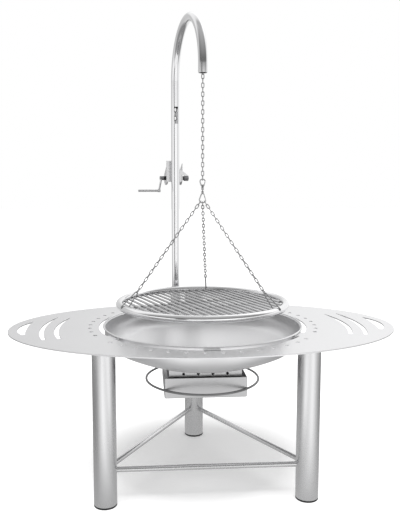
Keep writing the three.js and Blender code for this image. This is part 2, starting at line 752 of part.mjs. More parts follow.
// Winch frame: a plate behind the post, two U-bolts round it and two cheeks that carry the shaft
function buildWinchFrame() {
  const half = chainEntryWidth / 2;
  const slotBottom = shaftHeight + chainSlotRise;
  const clampHeights = clampRises.map((rise) => shaftHeight + rise);
  const outline = new THREE.Shape([
    new THREE.Vector2(baseLeft, baseBottomHeight),
    new THREE.Vector2(wingReach, baseBottomHeight),
    new THREE.Vector2(wingReach, shaftHeight - wingTipDrop),
    new THREE.Vector2(baseRight, shaftHeight + wingShoulderRise),
    new THREE.Vector2(baseRight, baseTopHeight),
    new THREE.Vector2(half, baseTopHeight),
    new THREE.Vector2(half, slotBottom),
    new THREE.Vector2(-half, slotBottom),
    new THREE.Vector2(-half, baseTopHeight),
    new THREE.Vector2(baseLeft, baseTopHeight),
  ]);
  const plate = new THREE.ExtrudeGeometry(outline, { depth: baseThickness, bevelEnabled: false })
    .rotateX(quarterTurn * degree)
    .translate(0, baseBack, 0);
  const boltHoles = clampHeights.flatMap((height) =>
    [-clampBend, clampBend].map((x) =>
      bar(
        new THREE.Vector3(x, baseFront - cutOverrun, height),
        new THREE.Vector3(x, baseBack + cutOverrun, height),
        clampWireRadius + seatGap,
        barSides,
      ),
    ),
  );
  add(gallows, "winch_base", cut(plate, boltHoles), steel);

  clampHeights.forEach((height, i) => {
    const stations = [new THREE.Vector3(clampBend, baseBack + clampTail, height)];
    for (let k = 0; k <= hookSteps; k++) {
      const angle = (Math.PI * k) / hookSteps;
      stations.push(new THREE.Vector3(clampBend * Math.cos(angle), -clampBend * Math.sin(angle), height));
    }
    stations.push(new THREE.Vector3(-clampBend, baseBack + clampTail, height));
    const nuts = [-clampBend, clampBend].map((x) =>
      bar(
        new THREE.Vector3(x, baseBack + seatGap, height),
        new THREE.Vector3(x, baseBack + seatGap + clampNutHeight, height),
        clampNutRadius,
        wireSides,
      ),
    );
    const clamp = join([tubeAlong(stations, clampWireRadius, 0, barSides), ...nuts]);
    add(gallows, i === 0 ? "post_clamp_lower" : "post_clamp_upper", clamp, steel);
  });

  for (const [name, left] of [["left", leftCheekX], ["right", rightCheekX]]) {
    const shape = new THREE.Shape();
    const face = baseBack + seatGap;
    shape.moveTo(face, shaftHeight + cheekRise);
    shape.lineTo(face, shaftHeight - cheekHeelDrop);
    shape.absarc(shaftBack, shaftHeight, cheekLobeRadius, Math.PI, Math.PI * (2 + 1 / 3), false);
    const cheek = new THREE.ExtrudeGeometry(shape, {
      depth: cheekThickness,
      bevelEnabled: false,
      curveSegments: smallSides,
    })
      .rotateX(quarterTurn * degree)
      .rotateZ(quarterTurn * degree)
      .translate(left, 0, 0);
    const bore = across(
      shaftBack,
      shaftHeight,
      shaftRadius + bearingGap,
      left - cutOverrun,
      left + cheekThickness + cutOverrun,
      smallSides,
    );
    add(gallows, `winch_cheek_${name}`, cut(cheek, [bore]), steel);
  }
  const bore = shaftRadius + bearingGap;
  const leftFace = leftCheekX - seatGap;
  const rightFace = rightCheekX + cheekThickness + seatGap;
  const leftBush = shaftCollar(bore, bushRadius, leftFace - bushLength, leftFace);
  const rightBush = shaftCollar(bore, bushRadius, rightFace, rightFace + bushLength);
  add(gallows, "shaft_bush_left", leftBush, blackPlastic);
  add(gallows, "shaft_bush_right", rightBush, blackPlastic);
}

// Winch works: the shaft with its drum, hub, crank and handle, and the brake knob on the right
function buildCrank() {
  const hubRight = leftCheekX - seatGap - bushLength - hubGap;
  const hubLeft = hubRight - hubLength;
  const knobLeft = rightCheekX + cheekThickness + seatGap + bushLength + seatGap;
  const knobFloor = knobLeft + knobLength - knobCrown;
  const shaft = across(shaftBack, shaftHeight, shaftRadius, hubLeft, knobFloor - hubGap, smallSides);
  add(gallows, "crank_shaft", shaft, steel);

  const bore = shaftRadius + seatGap;
  const drumLeft = leftCheekX + cheekThickness + drumPlay;
  const drumRight = rightCheekX - drumPlay;
  const spool = [
    [bore, drumLeft],
    [drumFlangeRadius, drumLeft],
    [drumFlangeRadius, drumLeft + drumFlangeThickness],
    [drumCoreRadius, drumLeft + drumFlangeThickness],
    [drumCoreRadius, drumRight - drumFlangeThickness],
    [drumFlangeRadius, drumRight - drumFlangeThickness],
    [drumFlangeRadius, drumRight],
    [bore, drumRight],
    [bore, drumLeft],
  ];
  add(gallows, "winch_drum", onShaft(spool, tubeSides), steel);
  add(gallows, "crank_hub", shaftCollar(bore, hubRadius, hubLeft, hubRight), blackPlastic);

  const hubMiddle = (hubLeft + hubRight) / 2;
  const root = new THREE.Vector3(hubMiddle, shaftBack, shaftHeight);
  const forward = Math.sqrt(crankReach ** 2 - crankDrop ** 2);
  const elbow = new THREE.Vector3(hubMiddle - crankLean, shaftBack - forward, shaftHeight - crankDrop);
  const eyeLeft = elbow.x - crankEyeLength / 2;
  const eyeRight = elbow.x + crankEyeLength / 2;
  const eye = across(elbow.y, elbow.z, crankEyeRadius, eyeLeft, eyeRight, smallSides);
  const aroundHub = across(
    shaftBack,
    shaftHeight,
    hubRadius + seatGap,
    hubLeft - cutOverrun,
    hubRight + cutOverrun,
    smallSides,
  );
  const arm = cut(join([bar(root, elbow, crankArmRadius, barSides), eye]), [aroundHub]);
  add(gallows, "crank_arm", arm, steel);
  const handleRight = eyeLeft - seatGap;
  const handle = across(elbow.y, elbow.z, handleRadius, handleRight - handleLength, handleRight, smallSides);
  add(gallows, "crank_handle", handle, steel);

  const right = knobLeft + knobLength;
  const knob = [
    [bore, knobLeft],
    [knobRadius - knobCrown, knobLeft],
    [knobRadius, knobLeft + knobCrown],
    [knobRadius, right - knobCrown / 2],
    [knobRadius - knobCrown / 2, right],
    [0, right],
    [0, knobFloor],
    [bore, knobFloor],
    [bore, knobLeft],
  ];
  add(gallows, "brake_knob", onShaft(knob, tubeSides), blackPlastic);
}

// A chain link as long inside as given, in X and Z
function link(inner) {
  const bend = (linkWidth - linkWire) / 2;
  const straight = (inner + linkWire) / 2 - bend;
  const outline = [
    ...flatArc(0, straight, bend, 0, 2 * quarterTurn, bendSteps),
    ...flatArc(0, -straight, bend, 2 * quarterTurn, fullTurn, bendSteps),
  ];
  return closedWire(outline, linkWire / 2, linkSides);
}

// A chain between two bearing points, as a list of links. Each link is turned a quarter from the
// last, and what is left of the turn between the two end pieces is shared out along the chain.
function chain(start, end, startAcross, endAcross) {
  const along = new THREE.Vector3().subVectors(end, start);
  const reach = along.length() + linkBite;
  along.normalize();
  const first = startAcross.clone().projectOnPlane(along).normalize();
  const last = endAcross.clone().projectOnPlane(along).normalize();
  const between = Math.atan2(first.clone().cross(last).dot(along), first.dot(last)) / degree;
  const options = [Math.floor(reach / linkPitch), Math.ceil(reach / linkPitch)].map((count) => {
    const half = 2 * quarterTurn;
    const rest = between - (count - 1) * quarterTurn;
    return { count, rest: rest - half * Math.round(rest / half) };
  });
  const { count, rest } = Math.abs(options[0].rest) < Math.abs(options[1].rest) ? options[0] : options[1];
  const spacing = reach / count;
  const inner = spacing - linkBite;
  return Array.from({ length: count }, (_, i) => {
    const angle = i * quarterTurn + (rest * i) / Math.max(count - 1, 1);
    const across = first.clone().applyAxisAngle(along, angle * degree);
    const side = across.clone().cross(along);
    const centre = start.clone().addScaledVector(along, inner / 2 + i * spacing);
    return link(inner).applyMatrix4(new THREE.Matrix4().makeBasis(side, across, along).setPosition(centre));
  });
}

const xAxis = new THREE.Vector3(1, 0, 0);
const yAxis = new THREE.Vector3(0, 1, 0);
const zAxis = new THREE.Vector3(0, 0, 1);

// Chains: the top link in the mouth, the run below it, and the run from the drum up inside the post
function buildChains() {
  const topLinkHeight = mouthHeight + mouthGuideHeight / 2;
  const topLink = link(linkPitch).rotateZ(quarterTurn * degree).translate(0, 0, topLinkHeight);
  add(grill, "top_link", topLink, chainSteel);
  const start = new THREE.Vector3(0, 0, topLinkHeight - linkPitch / 2 + seatGap);
  const end = new THREE.Vector3(0, 0, upperHook.top - 2 * hookWireRadius - seatGap);
  add(grill, "main_chain", join(chain(start, end, yAxis, xAxis)), chainSteel);

  const clearOfCore = drumCoreRadius + linkWidth / 2 + seatGap;
  const toBend = new THREE.Vector2(-shaftBack, winchChainBendRise);
  const bendHeight = shaftHeight + winchChainBendRise;
  const touchAngle = toBend.angle() + Math.acos(clearOfCore / toBend.length());
  const touch = new THREE.Vector3(
    0,
    shaftBack + clearOfCore * Math.cos(touchAngle),
    shaftHeight + clearOfCore * Math.sin(touchAngle),
  );
  const bend = new THREE.Vector3(0, 0, bendHeight);
  const upwards = new THREE.Vector3().subVectors(bend, touch).normalize();
  const leave = touch.clone().addScaledVector(upwards, -linkPitch / 2);
  const onward = new THREE.Vector3(0, 0, bendHeight + linkBite);
  const top = new THREE.Vector3(0, 0, springHeight - winchChainTopDrop);
  const links = [...chain(leave, bend, xAxis, xAxis), ...chain(onward, top, yAxis, xAxis)];
  add(gallows, "winch_chain", join(links), chainSteel);
}

// Centres of a pear-shaped hook's two bends
function pear(hook) {
  const up = hook === upperHook ? 1 : -1;
  const wideEnd = up > 0 ? hook.top : hook.bottom;
  const narrowEnd = up > 0 ? hook.bottom : hook.top;
  return {
    up,
    wideHeight: wideEnd - up * (hookWireRadius + hook.wide),
    narrowHeight: narrowEnd + up * (hookWireRadius + hook.narrow),
  };
}

// A pear-shaped wire from the nose round the wide bend and the narrow bend to the heel
function hookStations(hook) {
  const { up, wideHeight, narrowHeight } = pear(hook);
  const half = 2 * quarterTurn;
  const wide = Array.from({ length: hookSteps + 1 }, (_, i) => {
    const angle = (hookNoseAngle + ((half - hookNoseAngle) * i) / hookSteps) * degree;
    return new THREE.Vector3(hook.wide * Math.cos(angle), 0, wideHeight + up * hook.wide * Math.sin(angle));
  });
  const narrow = Array.from({ length: hookSteps + 1 }, (_, i) => {
    const angle = (half + ((half - hookNoseAngle) * i) / hookSteps) * degree;
    const height = narrowHeight + up * hook.narrow * Math.sin(angle);
    return new THREE.Vector3(hook.narrow * Math.cos(angle), 0, height);
  });
  return [...wide, ...narrow];
}

function gate(hook) {
  const stations = hookStations(hook);
  const nose = stations[0];
  const heel = stations[stations.length - 1];
  const along = new THREE.Vector3().subVectors(nose, heel).normalize();
  const from = heel.clone().addScaledVector(along, gateHeelGap);
  return bar(from, nose.clone().addScaledVector(along, -gateNoseGap), gateRadius, wireSides);
}

// Snap hooks: the lower one's shank turns in the barrel of the upper one, held by its head
function buildHooks() {
  const barrelTop = upperHook.bottom + 2 * hookWireRadius + seatGap;
  const barrel = disc(barrelRadius, barrelBottomHeight, barrelTop, smallSides);
  const throat = disc(
    shankRadius + shankPlay,
    barrelBottomHeight - cutOverrun,
    barrelTop + cutOverrun,
    smallSides,
  );
  const headRoom = disc(shankHeadRadius + shankPlay, barrelTop, barrelTop + cutOverrun, smallSides);
  const upperWire = tubeAlong(hookStations(upperHook), hookWireRadius, 0, wireSides);
  add(grill, "upper_snap_hook", cut(join([upperWire, barrel]), [throat, headRoom]), chainSteel);
  add(grill, "upper_hook_gate", gate(upperHook), steel);

  const headBottom = barrelTop + seatGap;
  const shankProfile = [
    [0, ballHeight],
    [shankRadius, ballHeight],
    [shankRadius, headBottom],
    [shankHeadRadius, headBottom],
    [shankHeadRadius, headBottom + shankHeadHeight],
    [0, headBottom + shankHeadHeight],
  ];
  const ball = new THREE.SphereGeometry(ballRadius, smallSides, smallSides / 2)
    .rotateX(quarterTurn * degree)
    .translate(0, 0, ballHeight);
  const lowerWire = tubeAlong(hookStations(lowerHook), hookWireRadius, 0, wireSides);
  add(grill, "lower_snap_hook", join([lowerWire, ball, turned(shankProfile, smallSides)]), chainSteel);
  add(grill, "lower_hook_gate", gate(lowerHook), steel);
}

// Grate: a rolled rim with a flat ledge and a lip, and round bars on two bearers inside it
function buildGrate() {
  const outer = grateRimRadius;
  const inner = ledgeInnerRadius;
  const top = grateTopHeight;
  const foot = top - grateWallHeight;
  const middle = top - grateWallHeight / 2;
  const profile = [
    [outer - grateSheet, foot],
    [outer, foot],
    [outer + grateBead, foot + grateBead],
    [outer, foot + 2 * grateBead],
    [outer, middle - grateBead],
    [outer + grateBead, middle],
    [outer, middle + grateBead],
    [outer, top - grateBead],
    [outer - grateBead, top],
    [inner + grateBead, top],
    [inner, top - grateBead],
    [inner, top - grateLipHeight],
    [inner + grateSheet, top - grateLipHeight],
    [inner + grateSheet, top - grateSheet],
    [outer - grateSheet, top - grateSheet],
    [outer - grateSheet, foot],
  ];
  const low = top - hangerFootDrop;
  const ledgeHole = outer - grateSheet / 2 - hangerFootHalfWidth;
  const drill = (from, to) => bar(from, to, hangerHoleRadius, wireSides);
  const holes = hangerAngles.flatMap((angle) => [
    drill(polar(outer + cutOverrun, angle, low), polar(outer - cutOverrun, angle, low)),
    drill(polar(ledgeHole, angle, low), polar(ledgeHole, angle, top + cutOverrun)),
  ]);
  add(grill, "grate_rim", cut(turned(profile, roundSides), holes), steel);

  const barHeight = top - barTopDrop - barRadius;
  const reach = (inner - 2 * seatGap) * Math.cos(Math.PI / roundSides);
  const halfSpan = (offset, radius) => Math.sqrt(reach ** 2 - (Math.abs(offset) + radius) ** 2);
  const rods = [];
  const barsEachSide = Math.floor((reach - 2 * barRadius) / barPitch);
  for (let i = -barsEachSide; i <= barsEachSide; i++) {
    const y = i * barPitch;
    const half = halfSpan(y, barRadius);
    const from = new THREE.Vector3(-half, y, barHeight);
    rods.push(bar(from, new THREE.Vector3(half, y, barHeight), barRadius, wireSides));
  }
  const bearerHeight = barHeight - barRadius - bearerRadius + bearerBite;
  for (const x of [-bearerSpacing / 2, bearerSpacing / 2]) {
    const half = halfSpan(x, bearerRadius);
    const from = new THREE.Vector3(x, -half, bearerHeight);
    rods.push(bar(from, new THREE.Vector3(x, half, bearerHeight), bearerRadius, wireSides));
  }
  add(grill, "grate_bars", join(rods).rotateZ(barAngle * degree), steel);
}

// Bridle: three wire hangers through the rim, and the chain from each up to the lower hook
function buildBridle() {
  const names = ["rear", "left", "right"];
  const ringMiddle = grateRimRadius - grateSheet / 2;
  const arcHeight = grateTopHeight + hangerArcHeight;
  const foot = grateTopHeight - hangerFootDrop;
  const outline = [
    ...flatArc(ringMiddle, arcHeight, hangerApexRadius, 0, 2 * quarterTurn, bendSteps),
    new THREE.Vector2(ringMiddle - hangerFootHalfWidth, foot),
    new THREE.Vector2(ringMiddle + hangerFootHalfWidth, foot),
  ];
  const { wideHeight } = pear(lowerHook);
  hangerAngles.forEach((angle, i) => {
    const ring = closedWire(outline, hangerWireRadius, wireSides).rotateZ(angle * degree);
    add(grill, `hanger_${names[i]}`, ring, chainSteel);

    const seat = hookSeatAngles[i] * degree;
    const onHook = new THREE.Vector3(
      lowerHook.wide * Math.sin(seat),
      0,
      wideHeight - lowerHook.wide * Math.cos(seat),
    );
    const onRing = polar(ringMiddle, angle, arcHeight);
    const along = new THREE.Vector3().subVectors(onRing, onHook).normalize();
    const start = onHook.clone().addScaledVector(along, -hookWireRadius - seatGap);
    const end = onRing.clone().addScaledVector(along, hangerWireRadius + seatGap - hangerApexRadius);
    const hookWay = new THREE.Vector3(Math.cos(seat), 0, Math.sin(seat));
    const ringWay = zAxis.clone().cross(polar(1, angle, 0)).cross(along);
    add(grill, `bridle_chain_${names[i]}`, join(chain(start, end, hookWay, ringWay)), chainSteel);
  });
}

buildTable();
buildLegs();
buildBraces();
buildBowl();
buildDuct();
buildTray();
buildSleeve();
buildGallows();
buildWinchFrame();
buildCrank();
buildChains();
buildHooks();
buildGrate();
buildBridle();

// The origin is on the floor, under the middle of the whole grill.
const box = new THREE.Box3().setFromObject(grill, true);
const middle = box.getCenter(new THREE.Vector3());
grill.position.set(-middle.x, -middle.y, 0);

export default grill;
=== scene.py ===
# A swing grill: an elliptical steel table on three tube legs round a fire bowl, and beside the rear
# leg a bent post that hangs a round cooking grate over the fire on a chain.
# Lengths are metres. Shapes are drawn from the bowl's axis on the floor: X runs along the table,
# Y to the back and Z up.
import math
import bmesh
import bpy
import numpy as np
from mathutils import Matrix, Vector
from mathutils.geometry import tessellate_polygon


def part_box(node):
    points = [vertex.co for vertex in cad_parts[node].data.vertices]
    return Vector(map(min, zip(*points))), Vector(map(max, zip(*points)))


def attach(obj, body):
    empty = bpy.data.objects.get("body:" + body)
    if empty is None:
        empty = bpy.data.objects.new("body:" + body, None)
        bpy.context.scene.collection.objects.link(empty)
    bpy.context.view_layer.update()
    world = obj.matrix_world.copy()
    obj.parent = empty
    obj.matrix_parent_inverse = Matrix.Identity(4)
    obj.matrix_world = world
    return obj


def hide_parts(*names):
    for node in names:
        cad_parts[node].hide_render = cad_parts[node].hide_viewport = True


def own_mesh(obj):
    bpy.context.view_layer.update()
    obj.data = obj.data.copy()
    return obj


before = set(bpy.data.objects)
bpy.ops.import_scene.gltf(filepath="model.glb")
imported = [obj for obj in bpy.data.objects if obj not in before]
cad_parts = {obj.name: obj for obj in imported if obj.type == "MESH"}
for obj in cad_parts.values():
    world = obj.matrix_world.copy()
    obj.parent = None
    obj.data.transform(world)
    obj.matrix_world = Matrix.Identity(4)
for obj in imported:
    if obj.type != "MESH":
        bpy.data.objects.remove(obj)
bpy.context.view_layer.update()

# Table: one 5 mm stainless plate, laser cut to an ellipse with the bowl's opening, a ring of small
# holes and three curved slots at each end. It is blasted to a soft satin, and its three tongues
# reach inwards to carry the bowl's rim.
bowl_low, bowl_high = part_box("fire_bowl")
bowl_axis = np.array([(bowl_low.x + bowl_high.x) / 2, (bowl_low.y + bowl_high.y) / 2, 0.0])
table_top = 0.650
table_thickness = 0.005
plate_edge = 0.0006
half_length = 0.778
half_width = 0.494
table_forward = 0.023
opening_radius = 0.422
tongue_reach = 0.4015
front_tongue_width = 0.062
rear_tongue_width = 0.120
rim_hole_circle = 0.4588
rim_hole_radius = 0.008
rim_hole_step = 8
leg_circle = 0.452
leg_radius = 0.04445
post_x = -0.088
sleeve_radius = 0.02415
notch_gap = 0.002
hole_margin = 0.005
slot_forward = 0.028
outer_slot = {"reach": 0.743, "chord": 0.232, "sagitta": 0.037, "widths": (0.013, 0.036, 0.002)}
middle_slot = {"reach": 0.652, "chord": 0.404, "sagitta": 0.036, "widths": (0.014, 0.017, 0.004)}
inner_slot = {"reach": 0.595, "chord": 0.376, "sagitta": 0.034, "widths": (0.014, 0.017, 0.004)}
edge_steps, opening_steps, hole_steps, notch_steps, slot_steps = 1200, 360, 24, 48, 40
weld_distance = 1e-6
crease_angle = math.radians(32)
leg_angles = {"rear": 90, "left": 210, "right": 330}
steel_tint = (1.0, 1.0, 1.01)
cloud_scale, cloud_detail, grain_detail = 3.0, 4, 3
darkest_cloud, lightest_cloud = 0.3, 0.7
bump_height = 0.0004
table_shades = (0.75, 0.81)
table_roughness = (0.32, 0.40)


def direction(degrees):
    """A flat unit vector: cosine and sine of an angle in degrees."""
    angle = math.radians(degrees)
    return np.array([math.cos(angle), math.sin(angle)])


def grid_faces(rows, columns, closed):
    """Four-sided faces between neighbours on a grid whose columns meet, and whose last row meets its
    first when it is closed."""
    row = np.arange(rows if closed else rows - 1)[:, None]
    column = np.arange(columns)[None, :]
    next_row = (row + 1) % rows
    next_column = (column + 1) % columns
    corners = [(row, column), (row, next_column), (next_row, next_column), (next_row, column)]
    return np.stack([r * columns + c for r, c in corners], -1).reshape(-1, 4)


def circle(centre, radius, count):
    """Points round a flat circle: centre plus radius times cosine and sine."""
    angle = np.linspace(0, 2 * np.pi, count, endpoint=False)
    return np.array(centre) + radius * np.stack([np.cos(angle), np.sin(angle)], 1)


def notched(outline, centre, radius):
    """An anticlockwise outline with a round notch: its points inside the circle give way to the
    circle's arc, taken clockwise from where the outline enters to where it leaves."""
    centre = np.array(centre)
    inside = np.hypot(*(outline - centre).T) < radius
    entry = np.flatnonzero(inside & ~np.roll(inside, 1))[0]
    kept = np.roll(outline, -entry, 0)[~np.roll(inside, -entry)]
    start = math.atan2(*(kept[-1] - centre)[::-1])
    end = math.atan2(*(kept[0] - centre)[::-1])
    angle = start - np.linspace(0, (start - end) % (2 * np.pi), notch_steps)
    return np.concatenate([kept, centre + radius * np.stack([np.cos(angle), np.sin(angle)], 1)])


def tongued(outline, degrees, width, reach, radius):
    """A round opening with a straight tongue let into it: points within half the width of the
    tongue's middle give way to its two roots on the circle and its two corners at the reach."""
    ahead, aside = direction(degrees), direction(degrees + 90)
    under = (outline @ ahead > 0) & (np.abs(outline @ aside) < width / 2)
    entry = np.flatnonzero(under & ~np.roll(under, 1))[0]
    kept = np.roll(outline, -entry, 0)[~np.roll(under, -entry)]
    root = math.sqrt(radius**2 - (width / 2) ** 2)
    along = np.array([root, reach, reach, root])
    across = np.array([-1, -1, 1, 1]) * width / 2
    return np.concatenate([kept, np.outer(along, ahead) + np.outer(across, aside)])


def end_slot(slot, side):
    """A slot's outline: out along an arc through its reach, and back along the same arc drawn in by
    a width that runs through its three given widths as a parabola."""
    radius = ((slot["chord"] / 2) ** 2 + slot["sagitta"] ** 2) / (2 * slot["sagitta"])
    half_angle = math.asin(slot["chord"] / 2 / radius)
    share = np.linspace(0, 1, slot_steps)
    front, middle, back = slot["widths"]
    width = front * (1 - share) * (1 - 2 * share) + middle * 4 * share * (1 - share)
    width = width + back * share * (2 * share - 1)
    angle = half_angle * (2 * share - 1)
    reach = np.concatenate([np.full(len(share), radius), (radius - width)[::-1]])
    angle = np.concatenate([angle, angle[::-1]])
    x = slot["reach"] - radius + reach * np.cos(angle)
    return np.stack([side * x, reach * np.sin(angle) - slot_forward], 1)


def cut_sheet(outlines, low, high, edge):
    """A sheet between two heights: each outline makes four rings of wall, drawn in by the edge at
    both faces, and triangles between the outlines close the faces. The first outline is the
    outside, and the others are holes."""
    points, walls, insets, lower, upper = [], [], [], [], []
    first = 0
    for i, outline in enumerate(outlines):
        x, y = outline.T
        area = np.sum(x * np.roll(y, -1) - np.roll(x, -1) * y)
        ring = outline if (area > 0) == (i == 0) else outline[::-1]
        along = np.roll(ring, -1, 0) - np.roll(ring, 1, 0)
        outward = np.stack([along[:, 1], -along[:, 0]], 1) / np.linalg.norm(along, axis=1)[:, None]
        inset = ring - edge * outward
        count = len(ring)
        rows = [(inset, low), (ring, low + edge), (ring, high - edge), (inset, high)]
        points += [np.column_stack([flat, np.full(count, height)]) for flat, height in rows]
        walls.append(grid_faces(len(rows), count, False) + first)
        lower.append(first + np.arange(count))
        upper.append(first + 3 * count + np.arange(count))
        insets.append([Vector((*point, 0)) for point in inset])
        first += len(rows) * count
    faces = np.array(tessellate_polygon(insets))
    lower, upper = np.concatenate(lower), np.concatenate(upper)
    return np.concatenate(points), [*walls, upper[faces], lower[faces[:, ::-1]]]


def new_node(tree, kind, inputs={}, **settings):
    """A shader node with its settings, and its inputs fed by numbers, colours or other sockets."""
    node = tree.nodes.new("ShaderNode" + kind)
    for setting, value in settings.items():
        setattr(node, setting, value)
    return fed(tree, node, inputs)


def fed(tree, node, inputs):
    """A node with each named input linked to the socket, or set to the number or colour, given."""
    for name, value in inputs.items():
        if isinstance(value, bpy.types.NodeSocket):
            tree.links.new(value, node.inputs[name])
        else:
            node.inputs[name].default_value = value
    return node


def new_math(tree, operation, *values):
    """A maths node fed by numbers and sockets, and its result."""
    return new_node(tree, "Math", dict(enumerate(values)), operation=operation).outputs[0]


def eased(tree, value, from_min, from_max, to_min=0.0, to_max=1.0):
    """A value mapped from one range to another, held at its ends."""
    ranges = {"Value": value, "From Min": from_min, "From Max": from_max, "To Min": to_min, "To Max": to_max}
    return new_node(tree, "MapRange", ranges).outputs["Result"]


def mixed_colour(tree, factor, dark, light):
    """The colour between a dark and a light one, at a factor."""
    inputs = {"Factor": factor, "A": dark, "B": light}
    return new_node(tree, "Mix", inputs, data_type="RGBA").outputs["Result"]


def new_material(name):
    """A fresh material with its node tree and its surface shader."""
    material = bpy.data.materials.new(name)
    material.use_nodes = True
    return material, material.node_tree, material.node_tree.nodes["Principled BSDF"]


def steel_grain():
    """The look that every steel here shares, as a group: a slow cloud of handling marks and a fine
    grain, read at a place and at a place stretched along the brushing. Half of each mixes the two
    shades and sets the roughness between its two values, and the grain alone is the height."""
    tree = bpy.data.node_groups.new("steel_grain", "ShaderNodeTree")
    vector, number, colour = "NodeSocketVector", "NodeSocketFloat", "NodeSocketColor"
    wanted = [("Place", vector), ("Brushed Place", vector), ("Cloud Scale", number)]
    wanted += [("Grain Scale", number), ("Dark", colour), ("Light", colour)]
    wanted += [("Least Roughness", number), ("Most Roughness", number)]
    for label, kind in wanted:
        tree.interface.new_socket(label, in_out="INPUT", socket_type=kind)
    for label, kind in [("Colour", colour), ("Roughness", number), ("Height", number)]:
        tree.interface.new_socket(label, in_out="OUTPUT", socket_type=kind)
    given = tree.nodes.new("NodeGroupInput").outputs
    cloud = {"Vector": given["Place"], "Scale": given["Cloud Scale"], "Detail": cloud_detail}
    grain = {"Vector": given["Brushed Place"], "Scale": given["Grain Scale"], "Detail": grain_detail}
    cloud, grain = [new_node(tree, "TexNoise", wish).outputs["Fac"] for wish in (cloud, grain)]
    both = new_math(tree, "MULTIPLY_ADD", cloud, 0.5, new_math(tree, "MULTIPLY", grain, 0.5))
    least, most = given["Least Roughness"], given["Most Roughness"]
    fed(tree, tree.nodes.new("NodeGroupOutput"), {
        "Colour": mixed_colour(tree, both, given["Dark"], given["Light"]),
        "Roughness": eased(tree, both, darkest_cloud, lightest_cloud, least, most),
        "Height": grain,
    })
    return tree


grain_group = steel_grain()


def satin_steel(name, shades, roughness, brushing, grain, relief):
    """A metal's material: the grain group between two shades and two roughnesses, with its fine
    grain stretched by the brushing along X, Y and Z and raised by the relief."""
    material, tree, surface = new_material(name)
    place = new_node(tree, "TexCoord").outputs["Object"]
    brushed = new_node(tree, "Mapping", {"Vector": place, "Scale": brushing}).outputs["Vector"]
    dark, light = [(*[value * share for share in steel_tint], 1) for value in shades]
    look = new_node(tree, "Group", {
        "Place": place, "Brushed Place": brushed, "Cloud Scale": cloud_scale, "Grain Scale": grain,
        "Dark": dark, "Light": light, "Least Roughness": roughness[0], "Most Roughness": roughness[1],
    }, node_tree=grain_group).outputs
    bump = {"Strength": relief, "Distance": bump_height, "Height": look["Height"]}
    fed(tree, surface, {"Metallic": 1.0, "Base Color": look["Colour"], "Roughness": look["Roughness"],
                        "Normal": new_node(tree, "Bump", bump).outputs["Normal"]})
    return material


def finish_nodes(material, *nodes):
    """Gives CAD nodes a material in place of their plain one."""
    for node in nodes:
        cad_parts[node].data.materials.clear()
        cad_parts[node].data.materials.append(material)


def new_object(name, data):
    """An object in the scene for a mesh, a lamp or a camera."""
    made = bpy.data.objects.new(name, data)
    bpy.context.scene.collection.objects.link(made)
    return made


def make_piece(name, shape, material, body, slot, *nodes):
    """A closed mesh from a shape's points and faces, with its faces outwards and its creases sharp,
    fixed to a body in place of CAD nodes."""
    points, blocks = shape
    faces = [face for block in blocks for face in block.tolist()]
    mesh = bpy.data.meshes.new(name)
    mesh.from_pydata((points + bowl_axis).tolist(), [], faces)
    whole = bmesh.new()
    whole.from_mesh(mesh)
    bmesh.ops.remove_doubles(whole, verts=whole.verts, dist=weld_distance)
    bmesh.ops.recalc_face_normals(whole, faces=whole.faces)
    whole.to_mesh(mesh)
    whole.free()
    mesh.polygons.foreach_set("use_smooth", np.ones(len(mesh.polygons), bool))
    mesh.set_sharp_from_angle(angle=crease_angle)
    mesh.materials.append(material)
    piece = new_object(name, mesh)
    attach(piece, body)
    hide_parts(*nodes)
    finish_nodes(material, *nodes)
    return piece


plate_steel = satin_steel("plate_satin", table_shades, table_roughness,
                          brushing=(1, 6, 6), grain=160, relief=0.12)
ellipse = circle((0, 0), 1, edge_steps) * [half_length, half_width] - [0, table_forward]
table_edge = notched(ellipse, (0, leg_circle), leg_radius + notch_gap)
table_edge = notched(table_edge, (post_x, leg_circle), sleeve_radius + notch_gap)
opening = circle((0, 0), opening_radius, opening_steps)
for leg, degrees in leg_angles.items():
    width = rear_tongue_width if leg == "rear" else front_tongue_width
    opening = tongued(opening, degrees, width, tongue_reach, opening_radius)
post_room = sleeve_radius + notch_gap + rim_hole_radius + hole_margin
rim_holes = []
for degrees in range(90, 90 + 360, rim_hole_step):
    place = rim_hole_circle * direction(degrees)
    over_leg = any((degrees - angle) % 360 == 0 for angle in leg_angles.values())
    if not over_leg and math.hypot(place[0] - post_x, place[1] - leg_circle) > post_room:
        rim_holes.append(circle(place, rim_hole_radius, hole_steps))
end_slots = [end_slot(slot, side) for slot in (outer_slot, middle_slot, inner_slot) for side in (-1, 1)]
table_bottom = table_top - table_thickness
plate = cut_sheet([table_edge, opening, *rim_holes, *end_slots], table_bottom, table_top, plate_edge)
make_piece("table_sheet", plate, plate_steel, "stand", "plate_steel", "table_plate")

# Legs: three 88.9 mm stainless tubes on black plastic feet. A round flange is welded on each under
# the table, and the rear leg runs on through the table to a welded cap.
leg_wall = 0.003
foot_height = 0.0075
foot_edge = 0.0015
seat_gap = 0.0003
flange_width = 0.014
flange_thickness = 0.005
flange_bottom = table_bottom - flange_thickness - seat_gap
rear_leg_top = table_top + 0.054
cap_thickness = 0.004
tube_edge = 0.0004
bowl_side_radius = 0.4005
weld_radius = 0.0016
weld_sides = 8
tube_sides = 96
tube_shades = (0.68, 0.74)
tube_roughness = (0.22, 0.30)
plastic_colour = (0.012, 0.012, 0.013)
plastic_roughness = (0.45, 0.65)
plastic_gloss = 0.4
pebble_scale, pebble_relief, pebble_height = 900, 0.3, 0.0002


